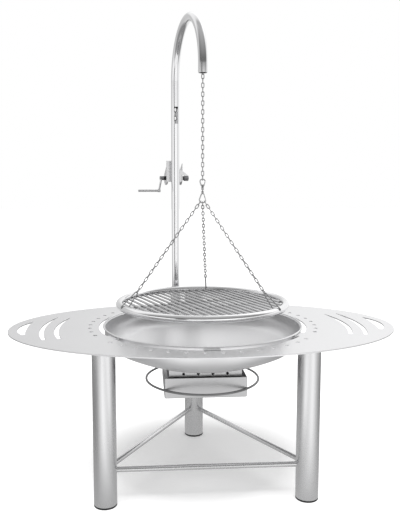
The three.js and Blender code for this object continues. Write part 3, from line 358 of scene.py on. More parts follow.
def turned(profile, sides, closed=False):
    """A profile of radius and height turned about the Z axis: radius times cosine and sine of the
    angle, at its height. A closed profile joins its last point to its first."""
    radius, height = np.array(profile, float).T
    angle = np.linspace(0, 2 * np.pi, sides, endpoint=False)
    round_about = np.stack([np.cos(angle), np.sin(angle)], 1)
    flat = radius[:, None, None] * round_about[None]
    points = np.concatenate([flat, np.repeat(height[:, None, None], sides, 1)], 2)
    return points.reshape(-1, 3), [grid_faces(len(radius), sides, closed)]


def ring_profile(bore, outside, bottom, top, edge):
    """The closed profile of a collar, with its two outer corners cut by the edge."""
    return [(bore, bottom), (outside - edge, bottom), (outside, bottom + edge),
            (outside, top - edge), (outside - edge, top), (bore, top)]


def moved(shape, axes, origin=(0, 0, 0)):
    """A shape laid along three axes, for its X, Y and Z in turn, from an origin."""
    points, blocks = shape
    return points @ np.array(axes, float) + np.array(origin, float), blocks


def standing(shape, x, y):
    """A shape moved along the floor: x and y added to its points."""
    return moved(shape, np.eye(3), (x, y, 0))


def carried(path, radius, side, sides, closed=False):
    """A round section carried along a path: path plus radius times u cos a + v sin a, where u is
    the side direction made square to the path and v is square to both."""
    path, side = np.array(path, float), np.array(side, float)
    ahead = np.roll(path, -1, 0) - np.roll(path, 1, 0) if closed else np.gradient(path, axis=0)
    ahead = ahead / np.linalg.norm(ahead, axis=1)[:, None]
    u = side - (ahead @ side)[:, None] * ahead
    u = u / np.linalg.norm(u, axis=1)[:, None]
    v = np.cross(ahead, u)
    angle = np.linspace(0, 2 * np.pi, sides, endpoint=False)[None, :, None]
    section = np.cos(angle) * u[:, None] + np.sin(angle) * v[:, None]
    radius = np.broadcast_to(radius, len(path))[:, None, None]
    points = (path[:, None] + radius * section).reshape(-1, 3)
    faces = [grid_faces(len(path), sides, closed)]
    if not closed:
        ends = np.arange(sides)
        faces += [ends[None, ::-1], ends[None] + (len(path) - 1) * sides]
    return points, faces


def gathered(shapes):
    """Several shapes as one: their points in a row, each shape's faces counted from its own."""
    first = np.cumsum([0] + [len(points) for points, _ in shapes])
    points = np.concatenate([points for points, _ in shapes])
    return points, [block + start for (_, blocks), start in zip(shapes, first) for block in blocks]


def moulded_plastic(name, colour):
    """Moulded plastic: one colour and its double, and the roughness, varied by a fine noise that
    also raises a light leather-like texture."""
    material, tree, surface = new_material(name)
    place = new_node(tree, "TexCoord").outputs["Object"]
    pebble = new_node(tree, "TexNoise", {"Vector": place, "Scale": pebble_scale}).outputs["Fac"]
    shade = mixed_colour(tree, pebble, (*colour, 1), (*[2 * part for part in colour], 1))
    bump = {"Strength": pebble_relief, "Distance": pebble_height, "Height": pebble}
    fed(tree, surface, {"Specular IOR Level": plastic_gloss, "Base Color": shade,
                        "Roughness": eased(tree, pebble, 0.0, 1.0, *plastic_roughness),
                        "Normal": new_node(tree, "Bump", bump).outputs["Normal"]})
    return material


plastic = moulded_plastic("moulded_black", plastic_colour)
tube_steel = satin_steel("tube_satin", tube_shades, tube_roughness,
                         brushing=(6, 6, 1), grain=40, relief=0.01)
foot_profile = [(0, 0), (leg_radius - foot_edge, 0), (leg_radius, foot_edge),
                (leg_radius, foot_height), (0, foot_height)]
cap_bottom = rear_leg_top + seat_gap
cap_top = cap_bottom + cap_thickness
cap_profile = [(0, cap_bottom), (leg_radius, cap_bottom), (leg_radius, cap_top - foot_edge),
               (leg_radius - foot_edge, cap_top), (0, cap_top)]
for leg, degrees in leg_angles.items():
    x, y = leg_circle * direction(degrees)
    top = rear_leg_top if leg == "rear" else flange_bottom
    tube_profile = ring_profile(leg_radius - leg_wall, leg_radius, foot_height, top, tube_edge)
    tube = standing(turned(tube_profile, tube_sides, True), x, y)
    make_piece(f"leg_tube_{leg}", tube, tube_steel, "stand", "tube_steel", f"leg_{leg}")
    foot = standing(turned(foot_profile, tube_sides), x, y)
    make_piece(f"foot_{leg}", foot, plastic, "stand", "black_plastic", f"foot_cap_{leg}")
    rim = notched(circle((x, y), leg_radius + flange_width, tube_sides), (0, 0), bowl_side_radius)
    bore = [circle((x, y), leg_radius, tube_sides)] if leg == "rear" else []
    flange = cut_sheet([rim, *bore], flange_bottom, flange_bottom + flange_thickness, plate_edge)
    seam = np.column_stack([circle((x, y), leg_radius, tube_sides), np.full(tube_sides, flange_bottom)])
    weld = carried(seam, weld_radius, (0, 0, 1), weld_sides, True)
    flange = gathered([flange, weld])
    make_piece(f"flange_{leg}", flange, tube_steel, "stand", "tube_steel", f"leg_flange_{leg}")
cap = standing(turned(cap_profile, tube_sides), 0, leg_circle)
make_piece("rear_cap", cap, tube_steel, "stand", "tube_steel", "rear_leg_cap")

# Braces: three 21.3 mm stainless tubes that tie the legs together low down. Their ends are cut to
# the legs' round and welded all the way round.
brace_radius = 0.01065
brace_height = 0.140
brace_sides, ease_steps = 40, 4


def rod(start, end, radius, edge, sides):
    """A round rod with eased ends: at each end the radius grows by the edge along a quarter
    circle."""
    start, end = np.array(start, float), np.array(end, float)
    length = np.linalg.norm(end - start)
    way = (end - start) / length
    ease = np.linspace(0, np.pi / 2, ease_steps)
    along = edge * (1 - np.cos(ease))
    radii = radius - edge * (1 - np.sin(ease))
    along = np.concatenate([along, length - along[::-1]])
    radii = np.concatenate([radii, radii[::-1]])
    side = np.cross(way, np.eye(3)[np.argmin(np.abs(way))])
    return carried(start + along[:, None] * way, radii, side, sides)


def leg_seam(leg, towards):
    """The seam of a brace on its leg: a circle round the brace's line, each point slid along that
    line until it meets the leg's round."""
    way = (towards - leg) / np.linalg.norm(towards - leg)
    across = np.array([-way[1], way[0]])
    angle = np.linspace(0, 2 * np.pi, brace_sides, endpoint=False)
    aside = brace_radius * np.cos(angle)
    along = np.sqrt(leg_radius**2 - aside**2)
    flat = leg + along[:, None] * way + aside[:, None] * across
    seam = np.column_stack([flat, brace_height + brace_radius * np.sin(angle)])
    return carried(seam, weld_radius, (*way, 0), weld_sides, True)


legs = [leg_circle * direction(degrees) for degrees in leg_angles.values()]
for i, name in enumerate(("left", "front", "right")):
    here, there = legs[i], legs[(i + 1) % len(legs)]
    inside_leg = (leg_radius - leg_wall) * (there - here) / np.linalg.norm(there - here)
    tube = rod((*(here + inside_leg), brace_height), (*(there - inside_leg), brace_height),
               brace_radius, tube_edge, brace_sides)
    brace = gathered([tube, leg_seam(here, there), leg_seam(there, here)])
    make_piece(f"brace_tube_{name}", brace, tube_steel, "stand", "tube_steel", f"brace_{name}")

# Fire bowl: a pressed stainless dish with a wide crown, a tight knuckle, an upright wall and a wired
# rim. It drops into the table's opening and hangs on the tongues. A slotted disc lies over its ash
# hole, and a small tab marks its front.
bowl_rim_radius = 0.4033
bowl_depth = 0.1770
bowl_crown = 0.800
bowl_knuckle = 0.080
bowl_wall = 0.003
bowl_sides, crown_steps, knuckle_steps, bead_steps = 180, 30, 20, 24
bead_radius = 0.0035
bead_turn = (-140, 190)
bead_height = table_top + seat_gap + bead_radius
ash_opening_radius = 0.075
ash_grate_radius = 0.089
ash_grate_thickness = 0.004
ash_slot_radius = 0.0045
ash_slot_pitch = 0.022
ash_slot_circle = 0.078
slots_each_side, slot_end_steps = 3, 12
tab_low = (-0.034, -0.4271)
tab_high = (0.027, -0.4071)
tab_thickness = 0.002
tab_corner = 0.004
corner_steps = 7
bowl_shades = (0.76, 0.82)
bowl_roughness = (0.30, 0.40)

bowl_bottom = bead_height - bowl_depth
wall_radius = bowl_rim_radius - bead_radius
crown_height = bowl_bottom + bowl_crown
knuckle_angle = math.asin((wall_radius - bowl_knuckle) / (bowl_crown - bowl_knuckle))
knuckle_height = crown_height - (bowl_crown - bowl_knuckle) * math.cos(knuckle_angle)


def dish_height(radius, inset):
    """The crown's height at a radius: the crown's middle less the root of its radius squared, less
    the inset, minus this radius squared."""
    return crown_height - np.sqrt((bowl_crown - inset) ** 2 - np.square(radius))


def dish_wall(inset):
    """The bowl's wall as radius and height: the crown's arc from the ash hole, the knuckle's arc to
    upright, and the straight wall to the rim's wire."""
    size = bowl_crown - inset
    crown = np.linspace(math.asin(ash_opening_radius / size), knuckle_angle, crown_steps)
    knuckle = np.linspace(knuckle_angle, np.pi / 2, knuckle_steps)[1:]
    return np.concatenate([
        np.stack([size * np.sin(crown), crown_height - size * np.cos(crown)], 1),
        np.stack([wall_radius - bowl_knuckle + (bowl_knuckle - inset) * np.sin(knuckle),
                  knuckle_height - (bowl_knuckle - inset) * np.cos(knuckle)], 1),
        [(wall_radius - inset, bead_height - bead_radius)],
    ])


def arc(radius, height, size, start, end, steps):
    """Part of a circle in radius and height, between two angles in degrees."""
    angle = np.radians(np.linspace(start, end, steps))
    return np.stack([radius + size * np.cos(angle), height + size * np.sin(angle)], 1)


bowl_steel = satin_steel("bowl_satin", bowl_shades, bowl_roughness,
                         brushing=(5, 5, 40), grain=60, relief=0.05)
wired_rim = arc(bowl_rim_radius, bead_height, bead_radius, *bead_turn, bead_steps)
bowl_profile = np.concatenate([dish_wall(0), wired_rim, dish_wall(bowl_wall)[::-1]])
bowl = turned(bowl_profile, bowl_sides, True)
make_piece("bowl_dish", bowl, bowl_steel, "stand", "bowl_steel", "fire_bowl")
ash_grate_bottom = dish_height(ash_grate_radius, bowl_wall) + seat_gap


def long_hole(centre, half, radius):
    """A slot's outline along Y: two half circles about its ends."""
    angle = np.linspace(0, np.pi, slot_end_steps)
    end = np.stack([radius * np.cos(angle), half - radius + radius * np.sin(angle)], 1)
    return np.concatenate([end, -end]) + centre


ash_slots = []
for i in range(-slots_each_side, slots_each_side + 1):
    x = i * ash_slot_pitch
    ash_slots.append(long_hole((x, 0), math.sqrt(ash_slot_circle**2 - x**2), ash_slot_radius))
ash_top = ash_grate_bottom + ash_grate_thickness
ash_edge = circle((0, 0), ash_grate_radius, tube_sides)
ash_disc = cut_sheet([ash_edge, *ash_slots], ash_grate_bottom, ash_top, plate_edge)
make_piece("ash_disc", ash_disc, bowl_steel, "stand", "chain_steel", "ash_grate")


def rounded_box(low, high, corner):
    """A rectangle's outline with quarter circles at its corners."""
    low, high = np.array(low), np.array(high)
    centre, half = (low + high) / 2, (high - low) / 2 - corner
    starts = np.array([[0], [90], [180], [270]])
    angle = np.radians(starts + np.linspace(0, 90, corner_steps)).ravel()
    signs = np.repeat([[1, 1], [-1, 1], [-1, -1], [1, -1]], corner_steps, 0)
    return centre + signs * half + corner * np.stack([np.cos(angle), np.sin(angle)], 1)


tab_bottom = table_top + seat_gap
tab_outline = rounded_box(tab_low, tab_high, tab_corner)
tab = cut_sheet([tab_outline], tab_bottom, tab_bottom + tab_thickness, plate_edge)
make_piece("front_tab", tab, plate_steel, "stand", "bowl_steel", "rim_tab")

# Ash duct: four 2.5 mm walls folded square, cut to the bowl's underside and welded to it, with four
# air holes at the front and a flat rail along each side for the tray.
duct_half_width = 0.144
duct_half_depth = 0.145
duct_bottom = 0.436
duct_sheet = 0.0025
air_hole_radius = 0.0055
air_hole_steps, duct_steps = 32, 40
air_hole_pitch = 0.0576
air_hole_height = 0.4826
# The duct's steel, which its rails, the tray and the runners also wear, is darker than the table's: painted
# shade for their place under the bowl and table.
duct_shades = (0.50, 0.56)
duct_roughness = (0.30, 0.38)
duct_steel = satin_steel("duct_satin", duct_shades, duct_roughness,
                         brushing=(6, 6, 1), grain=120, relief=0.05)
facing_back = [(1, 0, 0), (0, 0, 1), (0, 1, 0)]
facing_side = [(0, 1, 0), (0, 0, 1), (1, 0, 0)]


def duct_side(half, away):
    """A duct wall's outline: a straight foot, and a top that follows the crown at this distance
    from the bowl's axis."""
    along = np.linspace(half, -half, duct_steps)
    top = dish_height(np.hypot(along, away), 0) - seat_gap
    return np.concatenate([[(-half, duct_bottom), (half, duct_bottom)], np.stack([along, top], 1)])


air_holes = [circle((x * air_hole_pitch, air_hole_height), air_hole_radius, air_hole_steps)
             for x in (-1.5, -0.5, 0.5, 1.5)]
face = duct_side(duct_half_width, duct_half_depth)
flank = duct_side(duct_half_depth - duct_sheet, duct_half_width)
duct_walls = []
for near_side, far_side, ways, half in [([face, *air_holes], [face], facing_back, duct_half_depth),
                                        ([flank], [flank], facing_side, duct_half_width)]:
    duct_walls.append(moved(cut_sheet(near_side, -half, duct_sheet - half, tube_edge), ways))
    duct_walls.append(moved(cut_sheet(far_side, half - duct_sheet, half, tube_edge), ways))
make_piece("duct_box", gathered(duct_walls), duct_steel, "stand", "duct_steel", "ash_duct")
finish_nodes(duct_steel, "duct_rail_left", "duct_rail_right")

# Ash tray: a folded steel box with soft corners and a low back that clears the duct. It slides on
# its runners, and is pulled out by a hoop of round wire welded to its corners.
tray_half_width = 0.162
tray_half_depth = 0.166
tray_bottom = 0.392
tray_top = 0.472
tray_back_top = 0.429
tray_wall = 0.002
tray_corner = 0.004
hoop_height = 0.426
hoop_wire = 0.0045
hoop_steps, hoop_sides = 160, 16
tray_steps = 48
bottom_share = 0.985
tray_low = np.array([-tray_half_width, -tray_half_depth])
outer = rounded_box(tray_low, -tray_low, tray_corner)
inner = rounded_box(tray_low + tray_wall, -tray_low - tray_wall, tray_corner - tray_wall)
outer, inner = [np.concatenate([ring, ring[:1]]) for ring in (outer, inner)]


def finer(ring, steps):
    """A closed ring with more points: each straight gets the same number of equal steps."""
    share = np.arange(steps)[None, :, None] / steps
    return (ring[:-1, None] * (1 - share) + ring[1:, None] * share).reshape(-1, 2)


outer, inner = finer(outer, tray_steps), finer(inner, tray_steps)
off_side = np.abs(outer[:, 0]) < tray_half_width - tray_wall / 2
at_back = (outer[:, 1] > tray_half_depth - tray_corner) & off_side
brim = np.where(at_back, tray_back_top, tray_top)
under = np.full(len(outer), tray_bottom)
rows = [(outer * 0, under), (outer * bottom_share, under), (outer, under + tray_wall), (outer, brim),
        (inner, brim), (inner, under + 2 * tray_wall), (inner * bottom_share, under + tray_wall),
        (inner * 0, under + tray_wall)]
tray_points = np.concatenate([np.column_stack([ring, height]) for ring, height in rows])
tray = (tray_points, [grid_faces(len(rows), len(outer), False)])
make_piece("tray_box", tray, duct_steel, "ash_drawer", "duct_steel", "ash_tray")
finish_nodes(duct_steel, "tray_runner_left", "tray_runner_right")
hoop_radius = math.hypot(tray_half_width, tray_half_depth)
hoop_path = np.column_stack([circle((0, 0), hoop_radius, hoop_steps), np.full(hoop_steps, hoop_height)])
hoop_steel = satin_steel("hoop_satin", (0.24, 0.30), (0.34, 0.42),
                         brushing=(8, 8, 8), grain=60, relief=0.1)
hoop = carried(hoop_path, hoop_wire, (0, 0, 1), hoop_sides, True)
make_piece("tray_pull", hoop, hoop_steel, "ash_drawer", "duct_steel", "tray_hoop")

# Sleeve: a thick stainless tube beside the rear leg, held to it by two welded gussets. The post
# stands in it on a plastic plug, and turns.
sleeve_bore = 0.0196
sleeve_bottom = 0.380
sleeve_top = 0.700
sleeve_sides = 64
sleeve_profile = ring_profile(sleeve_bore, sleeve_radius, sleeve_bottom, sleeve_top, plate_edge)
sleeve = standing(turned(sleeve_profile, sleeve_sides, True), post_x, leg_circle)
make_piece("sleeve_tube", sleeve, tube_steel, "stand", "tube_steel", "post_sleeve")
finish_nodes(tube_steel, "sleeve_gusset_lower", "sleeve_gusset_upper")
finish_nodes(plastic, "sleeve_plug")

# Gallows: one 38 mm polished stainless tube, bent over in a half circle so that its open mouth hangs
# over the bowl's axis. A slot at the back lets the winch's chain in, a window cut through above it
# shows the chain, and a plastic ring in the mouth guides it.
post_radius = 0.019
post_bore = 0.0165
post_foot = 0.3883
spring_height = 1.6975
mouth_height = 1.662
entry_bottom, entry_top = 1.296, 1.420
window_bottom, window_top = 1.504, 1.582
guide_bore = 0.008
guide_height = 0.006
arch_steps, post_sides = 49, 48
entry_opening, back_window, front_window = (1, 2, 8, 16), (3, 4, 8, 16), (3, 4, 32, 40)
post_reach = math.hypot(post_x, leg_circle)
post_turn = math.atan2(-post_x, leg_circle)
bend_radius = post_reach / 2


def on_gallows(shape):
    """A shape drawn from the post's axis, with -Y towards the mouth, in its place."""
    cosine, sine = math.cos(post_turn), math.sin(post_turn)
    return moved(shape, [(cosine, sine, 0), (-sine, cosine, 0), (0, 0, 1)], (post_x, leg_circle, 0))


def pierced_tube(path, outside, bore, sides, windows):
    """A hollow tube with openings: an outer and an inner skin carried along one path and joined at
    the ends. In each window, given as its first and last rows and columns, both skins are left
    out and four walls join them."""
    outer_points, (faces, *_) = carried(path, outside, (1, 0, 0), sides)
    inner_points, _ = carried(path, bore, (1, 0, 0), sides)
    inner_start = len(outer_points)
    kept = np.ones((len(path) - 1, sides), bool)
    blocks = []
    for first_row, last_row, first_column, last_column in windows:
        kept[first_row:last_row, first_column:last_column] = False
        rows, columns = np.arange(first_row, last_row), np.arange(first_column, last_column)
        around_rows = np.concatenate([rows, np.full(len(columns), last_row), rows[::-1] + 1,
                                      np.full(len(columns), first_row)])
        around_columns = np.concatenate([np.full(len(rows), first_column), columns,
                                         np.full(len(rows), last_column), columns[::-1] + 1])
        border = around_rows * sides + around_columns
        after = np.roll(border, -1)
        blocks.append(np.stack([border, after, after + inner_start, border + inner_start], 1))
    skin = faces[kept.ravel()]
    column = np.arange(sides)
    for row in (0, len(path) - 1):
        edge, after = row * sides + column, row * sides + (column + 1) % sides
        blocks.append(np.stack([edge, after, after + inner_start, edge + inner_start], 1))
    return np.concatenate([outer_points, inner_points]), [skin, skin[:, ::-1] + inner_start, *blocks]


post_heights = np.array([post_foot, entry_bottom, entry_top, window_bottom, window_top])
arch = np.linspace(0, np.pi, arch_steps)
post_path = np.concatenate([
    np.column_stack([0 * post_heights, 0 * post_heights, post_heights]),
    np.stack([0 * arch, bend_radius * (np.cos(arch) - 1), spring_height + bend_radius * np.sin(arch)], 1),
    [(0, -post_reach, mouth_height)],
])
gallows_steel = satin_steel("gallows_satin", (0.74, 0.78), (0.09, 0.13),
                            brushing=(6, 6, 1), grain=40, relief=0.005)
openings = [entry_opening, front_window, back_window]
post = on_gallows(pierced_tube(post_path, post_radius, post_bore, post_sides, openings))
make_piece("gallows_post", post, gallows_steel, "gallows", "tube_steel", "gallows_tube")
guide_top = mouth_height + guide_height
guide_profile = ring_profile(guide_bore, post_bore - seat_gap, mouth_height, guide_top, foot_edge)
guide = turned(guide_profile, post_sides, True)
make_piece("mouth_ring", guide, plastic, "gallows", "black_plastic", "mouth_guide")

# Winch frame: a laser-cut steel plate screwed to two saddles behind the post, and two cheeks that
# carry the drum's shaft in plastic bushes.
shaft_back = 0.060
shaft_height = 1.253
shaft_radius = 0.006
base_front = post_radius + seat_gap
base_thickness = 0.005
base_back = base_front + base_thickness
base_left, base_right, base_shoulder = -0.038, 0.036, 0.022
base_bottom, base_top = 1.235, 1.334
wing_reach, wing_tip, wing_shoulder = 0.066, 1.268, 1.300
slot_half, slot_floor = 0.009, 1.272
saddle_half = 0.004
saddle_reach = 0.016
saddle_screw = 0.0148
saddle_turn = np.radians(np.linspace(40, 140, 15))
clamp_heights = {"lower": 1.249, "upper": 1.316}
nut_radius, nut_height, nut_edge = 0.0056, 0.0046, 0.0006
cheek_lefts = {"left": -0.034, "right": 0.038}
cheek_thickness = 0.004
cheek_lobe = 0.033
cheek_top, cheek_heel = 1.322, 1.240
bush_radius, bush_length = 0.0095, 0.011
bearing_gap = 0.0004
shaft_sides, bush_sides, lobe_steps = 32, 40, 60
winch_shades = (0.60, 0.66)
grip_colour = (0.10, 0.10, 0.105)
winch_steel = satin_steel("winch_satin", winch_shades, (0.28, 0.36),
                          brushing=(10, 10, 10), grain=120, relief=0.05)
grip_plastic = moulded_plastic("moulded_grey", grip_colour)

base_outline = np.array([
    (base_left, base_bottom), (base_right, base_bottom), (base_right, wing_tip), (wing_reach, wing_tip),
    (base_shoulder, wing_shoulder), (base_shoulder, base_top), (slot_half, base_top), (slot_half, slot_floor),
    (-slot_half, slot_floor), (-slot_half, base_top), (base_left, base_top),
])
base = on_gallows(moved(cut_sheet([base_outline], base_front, base_back, plate_edge), facing_back))
make_piece("winch_plate", base, winch_steel, "gallows", "winch_steel", "winch_base")

nut_profile = [(0, 0), (nut_radius - nut_edge, 0), (nut_radius, nut_edge),
               (nut_radius, nut_height - nut_edge), (nut_radius - nut_edge, nut_height), (0, nut_height)]
saddle_round = post_radius * np.stack([np.cos(saddle_turn), np.sin(saddle_turn)], 1)[::-1]
saddle_outline = np.concatenate([[(saddle_reach, base_front), (-saddle_reach, base_front)], saddle_round])
for name, height in clamp_heights.items():
    pad = cut_sheet([saddle_outline], height - saddle_half, height + saddle_half, tube_edge)
    screws = [moved(turned(nut_profile, 6), facing_back, (x, base_back, height))
              for x in (-saddle_screw, saddle_screw)]
    saddle = on_gallows(gathered([pad, *screws]))
    make_piece(f"post_saddle_{name}", saddle, winch_steel, "gallows", "winch_steel", f"post_clamp_{name}")

lobe = np.radians(np.linspace(180, 420, lobe_steps))
lobe_points = (shaft_back, shaft_height) + cheek_lobe * np.stack([np.cos(lobe), np.sin(lobe)], 1)
cheek_outline = np.concatenate([[(base_back, cheek_top), (base_back, cheek_heel)], lobe_points])
shaft_hole = circle((shaft_back, shaft_height), shaft_radius + bearing_gap, shaft_sides)
for name, left in cheek_lefts.items():
    cheek = cut_sheet([cheek_outline, shaft_hole], left, left + cheek_thickness, plate_edge)
    cheek = on_gallows(moved(cheek, facing_side))
    make_piece(f"cheek_{name}", cheek, winch_steel, "gallows", "winch_steel", f"winch_cheek_{name}")


def on_shaft(profile, sides, closed=False):
    """A profile of radius and place across the winch, turned about the winch's shaft."""
    return on_gallows(moved(turned(profile, sides, closed), facing_side, (0, shaft_back, shaft_height)))


bush_lefts = {"left": cheek_lefts["left"] - bush_length, "right": cheek_lefts["right"] + cheek_thickness}
for name, left in bush_lefts.items():
    bush_profile = ring_profile(shaft_radius + bearing_gap, bush_radius, left, left + bush_length, nut_edge)
    bush = on_shaft(bush_profile, bush_sides, True)
    make_piece(f"bush_{name}", bush, plastic, "gallows", "black_plastic", f"shaft_bush_{name}")

# Crank: a turned steel shaft with the chain's drum welded on it, a dark plastic hub, and a round arm
# that ends in an eye with a steel handle.
hub_left, hub_right = -0.0613, -0.0473
hub_radius = 0.0095
shaft_right = 0.0726
drum_left, drum_right = -0.0292, 0.0372
drum_core, drum_flange, drum_sheet = 0.0122, 0.0295, 0.003
drum_sides, arm_sides = 64, 24
elbow = np.array([-0.0833, -0.0195, 1.194])
arm_wire = 0.0045
eye_radius, eye_half = 0.007, 0.006
handle_radius = 0.0053
handle_left, handle_right = -0.1816, -0.0886
handle_edge = 0.002
shaft = on_gallows(rod((hub_left, shaft_back, shaft_height), (shaft_right, shaft_back, shaft_height),
                       shaft_radius, nut_edge, shaft_sides))
make_piece("shaft_bar", shaft, winch_steel, "crank", "winch_steel", "crank_shaft")
drum_profile = [(shaft_radius, drum_left), (drum_flange, drum_left), (drum_flange, drum_left + drum_sheet),
                (drum_core, drum_left + drum_sheet), (drum_core, drum_right - drum_sheet),
                (drum_flange, drum_right - drum_sheet), (drum_flange, drum_right), (shaft_radius, drum_right)]
drum = on_shaft(drum_profile, drum_sides, True)
make_piece("drum_spool", drum, winch_steel, "crank", "winch_steel", "winch_drum")
hub_profile = ring_profile(shaft_radius, hub_radius, hub_left, hub_right, nut_edge)
hub = on_shaft(hub_profile, bush_sides, True)
make_piece("hub_boss", hub, grip_plastic, "crank", "black_plastic", "crank_hub")
arm_start = np.array([(hub_left + hub_right) / 2, shaft_back, shaft_height])
arm_way = (elbow - arm_start) / np.linalg.norm(elbow - arm_start)
arm = rod(arm_start + arm_way * hub_radius, elbow, arm_wire, nut_edge, arm_sides)
eye = rod(elbow - (eye_half, 0, 0), elbow + (eye_half, 0, 0), eye_radius, nut_edge, shaft_sides)
make_piece("arm_bar", on_gallows(gathered([arm, eye])), winch_steel, "crank", "winch_steel", "crank_arm")
handle = rod((handle_left, *elbow[1:]), (handle_right, *elbow[1:]), handle_radius, handle_edge, shaft_sides)
make_piece("handle_bar", on_gallows(handle), winch_steel, "crank", "winch_steel", "crank_handle")

# Brake knob: dark plastic, screwed on the shaft's right end to pinch the drum, with a crowned end
# and grip flutes.
knob_left, knob_right = 0.0536, 0.0786
knob_radius = 0.013
knob_crown = 0.004
flute_count = 12
flute_depth = 0.0007
knob_sides, knob_steps = 96, 7
crown = np.radians(np.linspace(0, 90, knob_steps))
knob_end = np.stack([knob_radius - knob_crown / 2 * (1 - np.cos(crown)),
                     knob_right - knob_crown / 2 * (1 - np.sin(crown))], 1)
knob_profile = np.concatenate([[(0, knob_left), (knob_radius - knob_crown, knob_left),
                                (knob_radius, knob_left + knob_crown)], knob_end, [(0, knob_right)]])
knob_points, knob_faces = turned(knob_profile, knob_sides)
around = np.arctan2(knob_points[:, 1], knob_points[:, 0])
flutes = 1 - flute_depth / knob_radius * (1 - np.cos(flute_count * around)) / 2
knob_points = np.column_stack([knob_points[:, :2] * flutes[:, None], knob_points[:, 2]])
knob = on_gallows(moved((knob_points, knob_faces), facing_side, (0, shaft_back, shaft_height)))
make_piece("knob_grip", knob, grip_plastic, "brake", "black_plastic", "brake_knob")

# Chains: 3.6 mm stainless wire bent to long links and welded, each turned a quarter from the last. One
# run hangs from the arch's mouth, and the same chain runs from the drum into the post.
link_wire = 0.0036
link_width = 0.013
link_pitch = 0.0178
link_bite = 0.0005
link_sides, link_steps = 8, 9
chain_shades = (0.44, 0.50)
hook_wire = 0.0025
upper_hook = {"top": 1.246, "bottom": 1.214, "wide": 0.0105, "narrow": 0.0074, "up": 1}
lower_hook = {"top": 1.188, "bottom": 1.146, "wide": 0.013, "narrow": 0.006, "up": -1}
chain_bend = 1.405
chain_top = 1.598
chain_steel = satin_steel("chain_satin", chain_shades, (0.24, 0.32),
                          brushing=(30, 30, 30), grain=60, relief=0.1)


def unit(vector):
    """A vector divided by its length."""
    return np.array(vector, float) / np.linalg.norm(vector)


def link(inner):
    """A link as long inside as given: its wire's middle runs round two half circles and the
    straights between them, in X and Z."""
    bend = (link_width - link_wire) / 2
    straight = (inner + link_wire) / 2 - bend
    angle = np.linspace(0, np.pi, link_steps)
    end = np.stack([bend * np.cos(angle), 0 * angle, straight + bend * np.sin(angle)], 1)
    path = np.concatenate([end, end * [-1, 1, -1]])
    return carried(path, link_wire / 2, (0, 1, 0), link_sides, True)


def chain(start, end, start_across, end_across):
    """A taut chain between two points: equal links, each turned a quarter from the last, with what
    is left of the turn between the two end directions shared out along it."""
    start, end = np.array(start, float), np.array(end, float)
    along = unit(end - start)
    reach = np.linalg.norm(end - start) + link_bite
    first = unit(start_across - np.dot(start_across, along) * along)
    last = unit(end_across - np.dot(end_across, along) * along)
    between = math.atan2(np.dot(np.cross(first, last), along), np.dot(first, last))
    options = []
    for count in (math.floor(reach / link_pitch), math.ceil(reach / link_pitch)):
        rest = between - (count - 1) * math.pi / 2
        options.append((count, rest - math.pi * round(rest / math.pi)))
    count, rest = min(options, key=lambda option: abs(option[1]))
    spacing = reach / count
    links = []
    for i in range(count):
        angle = i * math.pi / 2 + rest * i / max(count - 1, 1)
        across = first * math.cos(angle) + np.cross(along, first) * math.sin(angle)
        centre = start + along * ((spacing - link_bite) / 2 + i * spacing)
        links.append(moved(link(spacing - link_bite), [np.cross(across, along), across, along], centre))
    return links


x_way, y_way, z_way = np.eye(3)
top_link_height = mouth_height + guide_height / 2
top_link = moved(link(link_pitch), [y_way, -x_way, z_way], (0, 0, top_link_height))
make_piece("mouth_link", top_link, chain_steel, "chain_top", "chain_steel", "top_link")
chain_start = (0, 0, top_link_height - link_pitch / 2 + seat_gap)
chain_end = (0, 0, upper_hook["top"] - 2 * hook_wire - seat_gap)
hoist_chain = gathered(chain(chain_start, chain_end, y_way, x_way))
hung = make_piece("hoist_chain", hoist_chain, chain_steel, "chain", "chain_steel", "main_chain")
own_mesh(hung)

core_clear = drum_core + link_width / 2 + seat_gap
to_bend = np.array([-shaft_back, chain_bend - shaft_height])
touch_angle = math.atan2(to_bend[1], to_bend[0]) + math.acos(core_clear / np.linalg.norm(to_bend))
touch = np.array([0, shaft_back + core_clear * math.cos(touch_angle),
                  shaft_height + core_clear * math.sin(touch_angle)])
bend_point = np.array([0, 0, chain_bend])
leave = touch - unit(bend_point - touch) * link_pitch / 2
winch_run = chain(leave, bend_point, x_way, x_way)
winch_run += chain((0, 0, chain_bend + link_bite), (0, 0, chain_top), y_way, x_way)
drum_chain = on_gallows(gathered(winch_run))
make_piece("drum_chain", drum_chain, chain_steel, "gallows", "chain_steel", "winch_chain")

# Snap hooks: two pear-shaped hooks bent from stainless wire, with sprung gates. The upper one ends in
# a barrel, in which the lower one's headed shank turns, so the grate can spin under the chain.
nose_angle = 10
hook_sides, hook_steps, ball_sides, shank_sides = 16, 21, 32, 24
gate_wire = 0.0018
gate_heel_gap, gate_nose_gap = 0.0006, 0.0015
barrel_radius, barrel_bottom = 0.0054, 1.200
shank_radius, shank_play = 0.0022, 0.0004
head_radius, head_height = 0.004, 0.0025
ball_radius, ball_height, ball_steps = 0.0055, 1.192, 17


def wide_middle(hook):
    """The height of a hook's wide bend: its end on that side, less the wire and the bend's radius."""
    end = hook["top"] if hook["up"] > 0 else hook["bottom"]
    return end - hook["up"] * (hook_wire + hook["wide"])


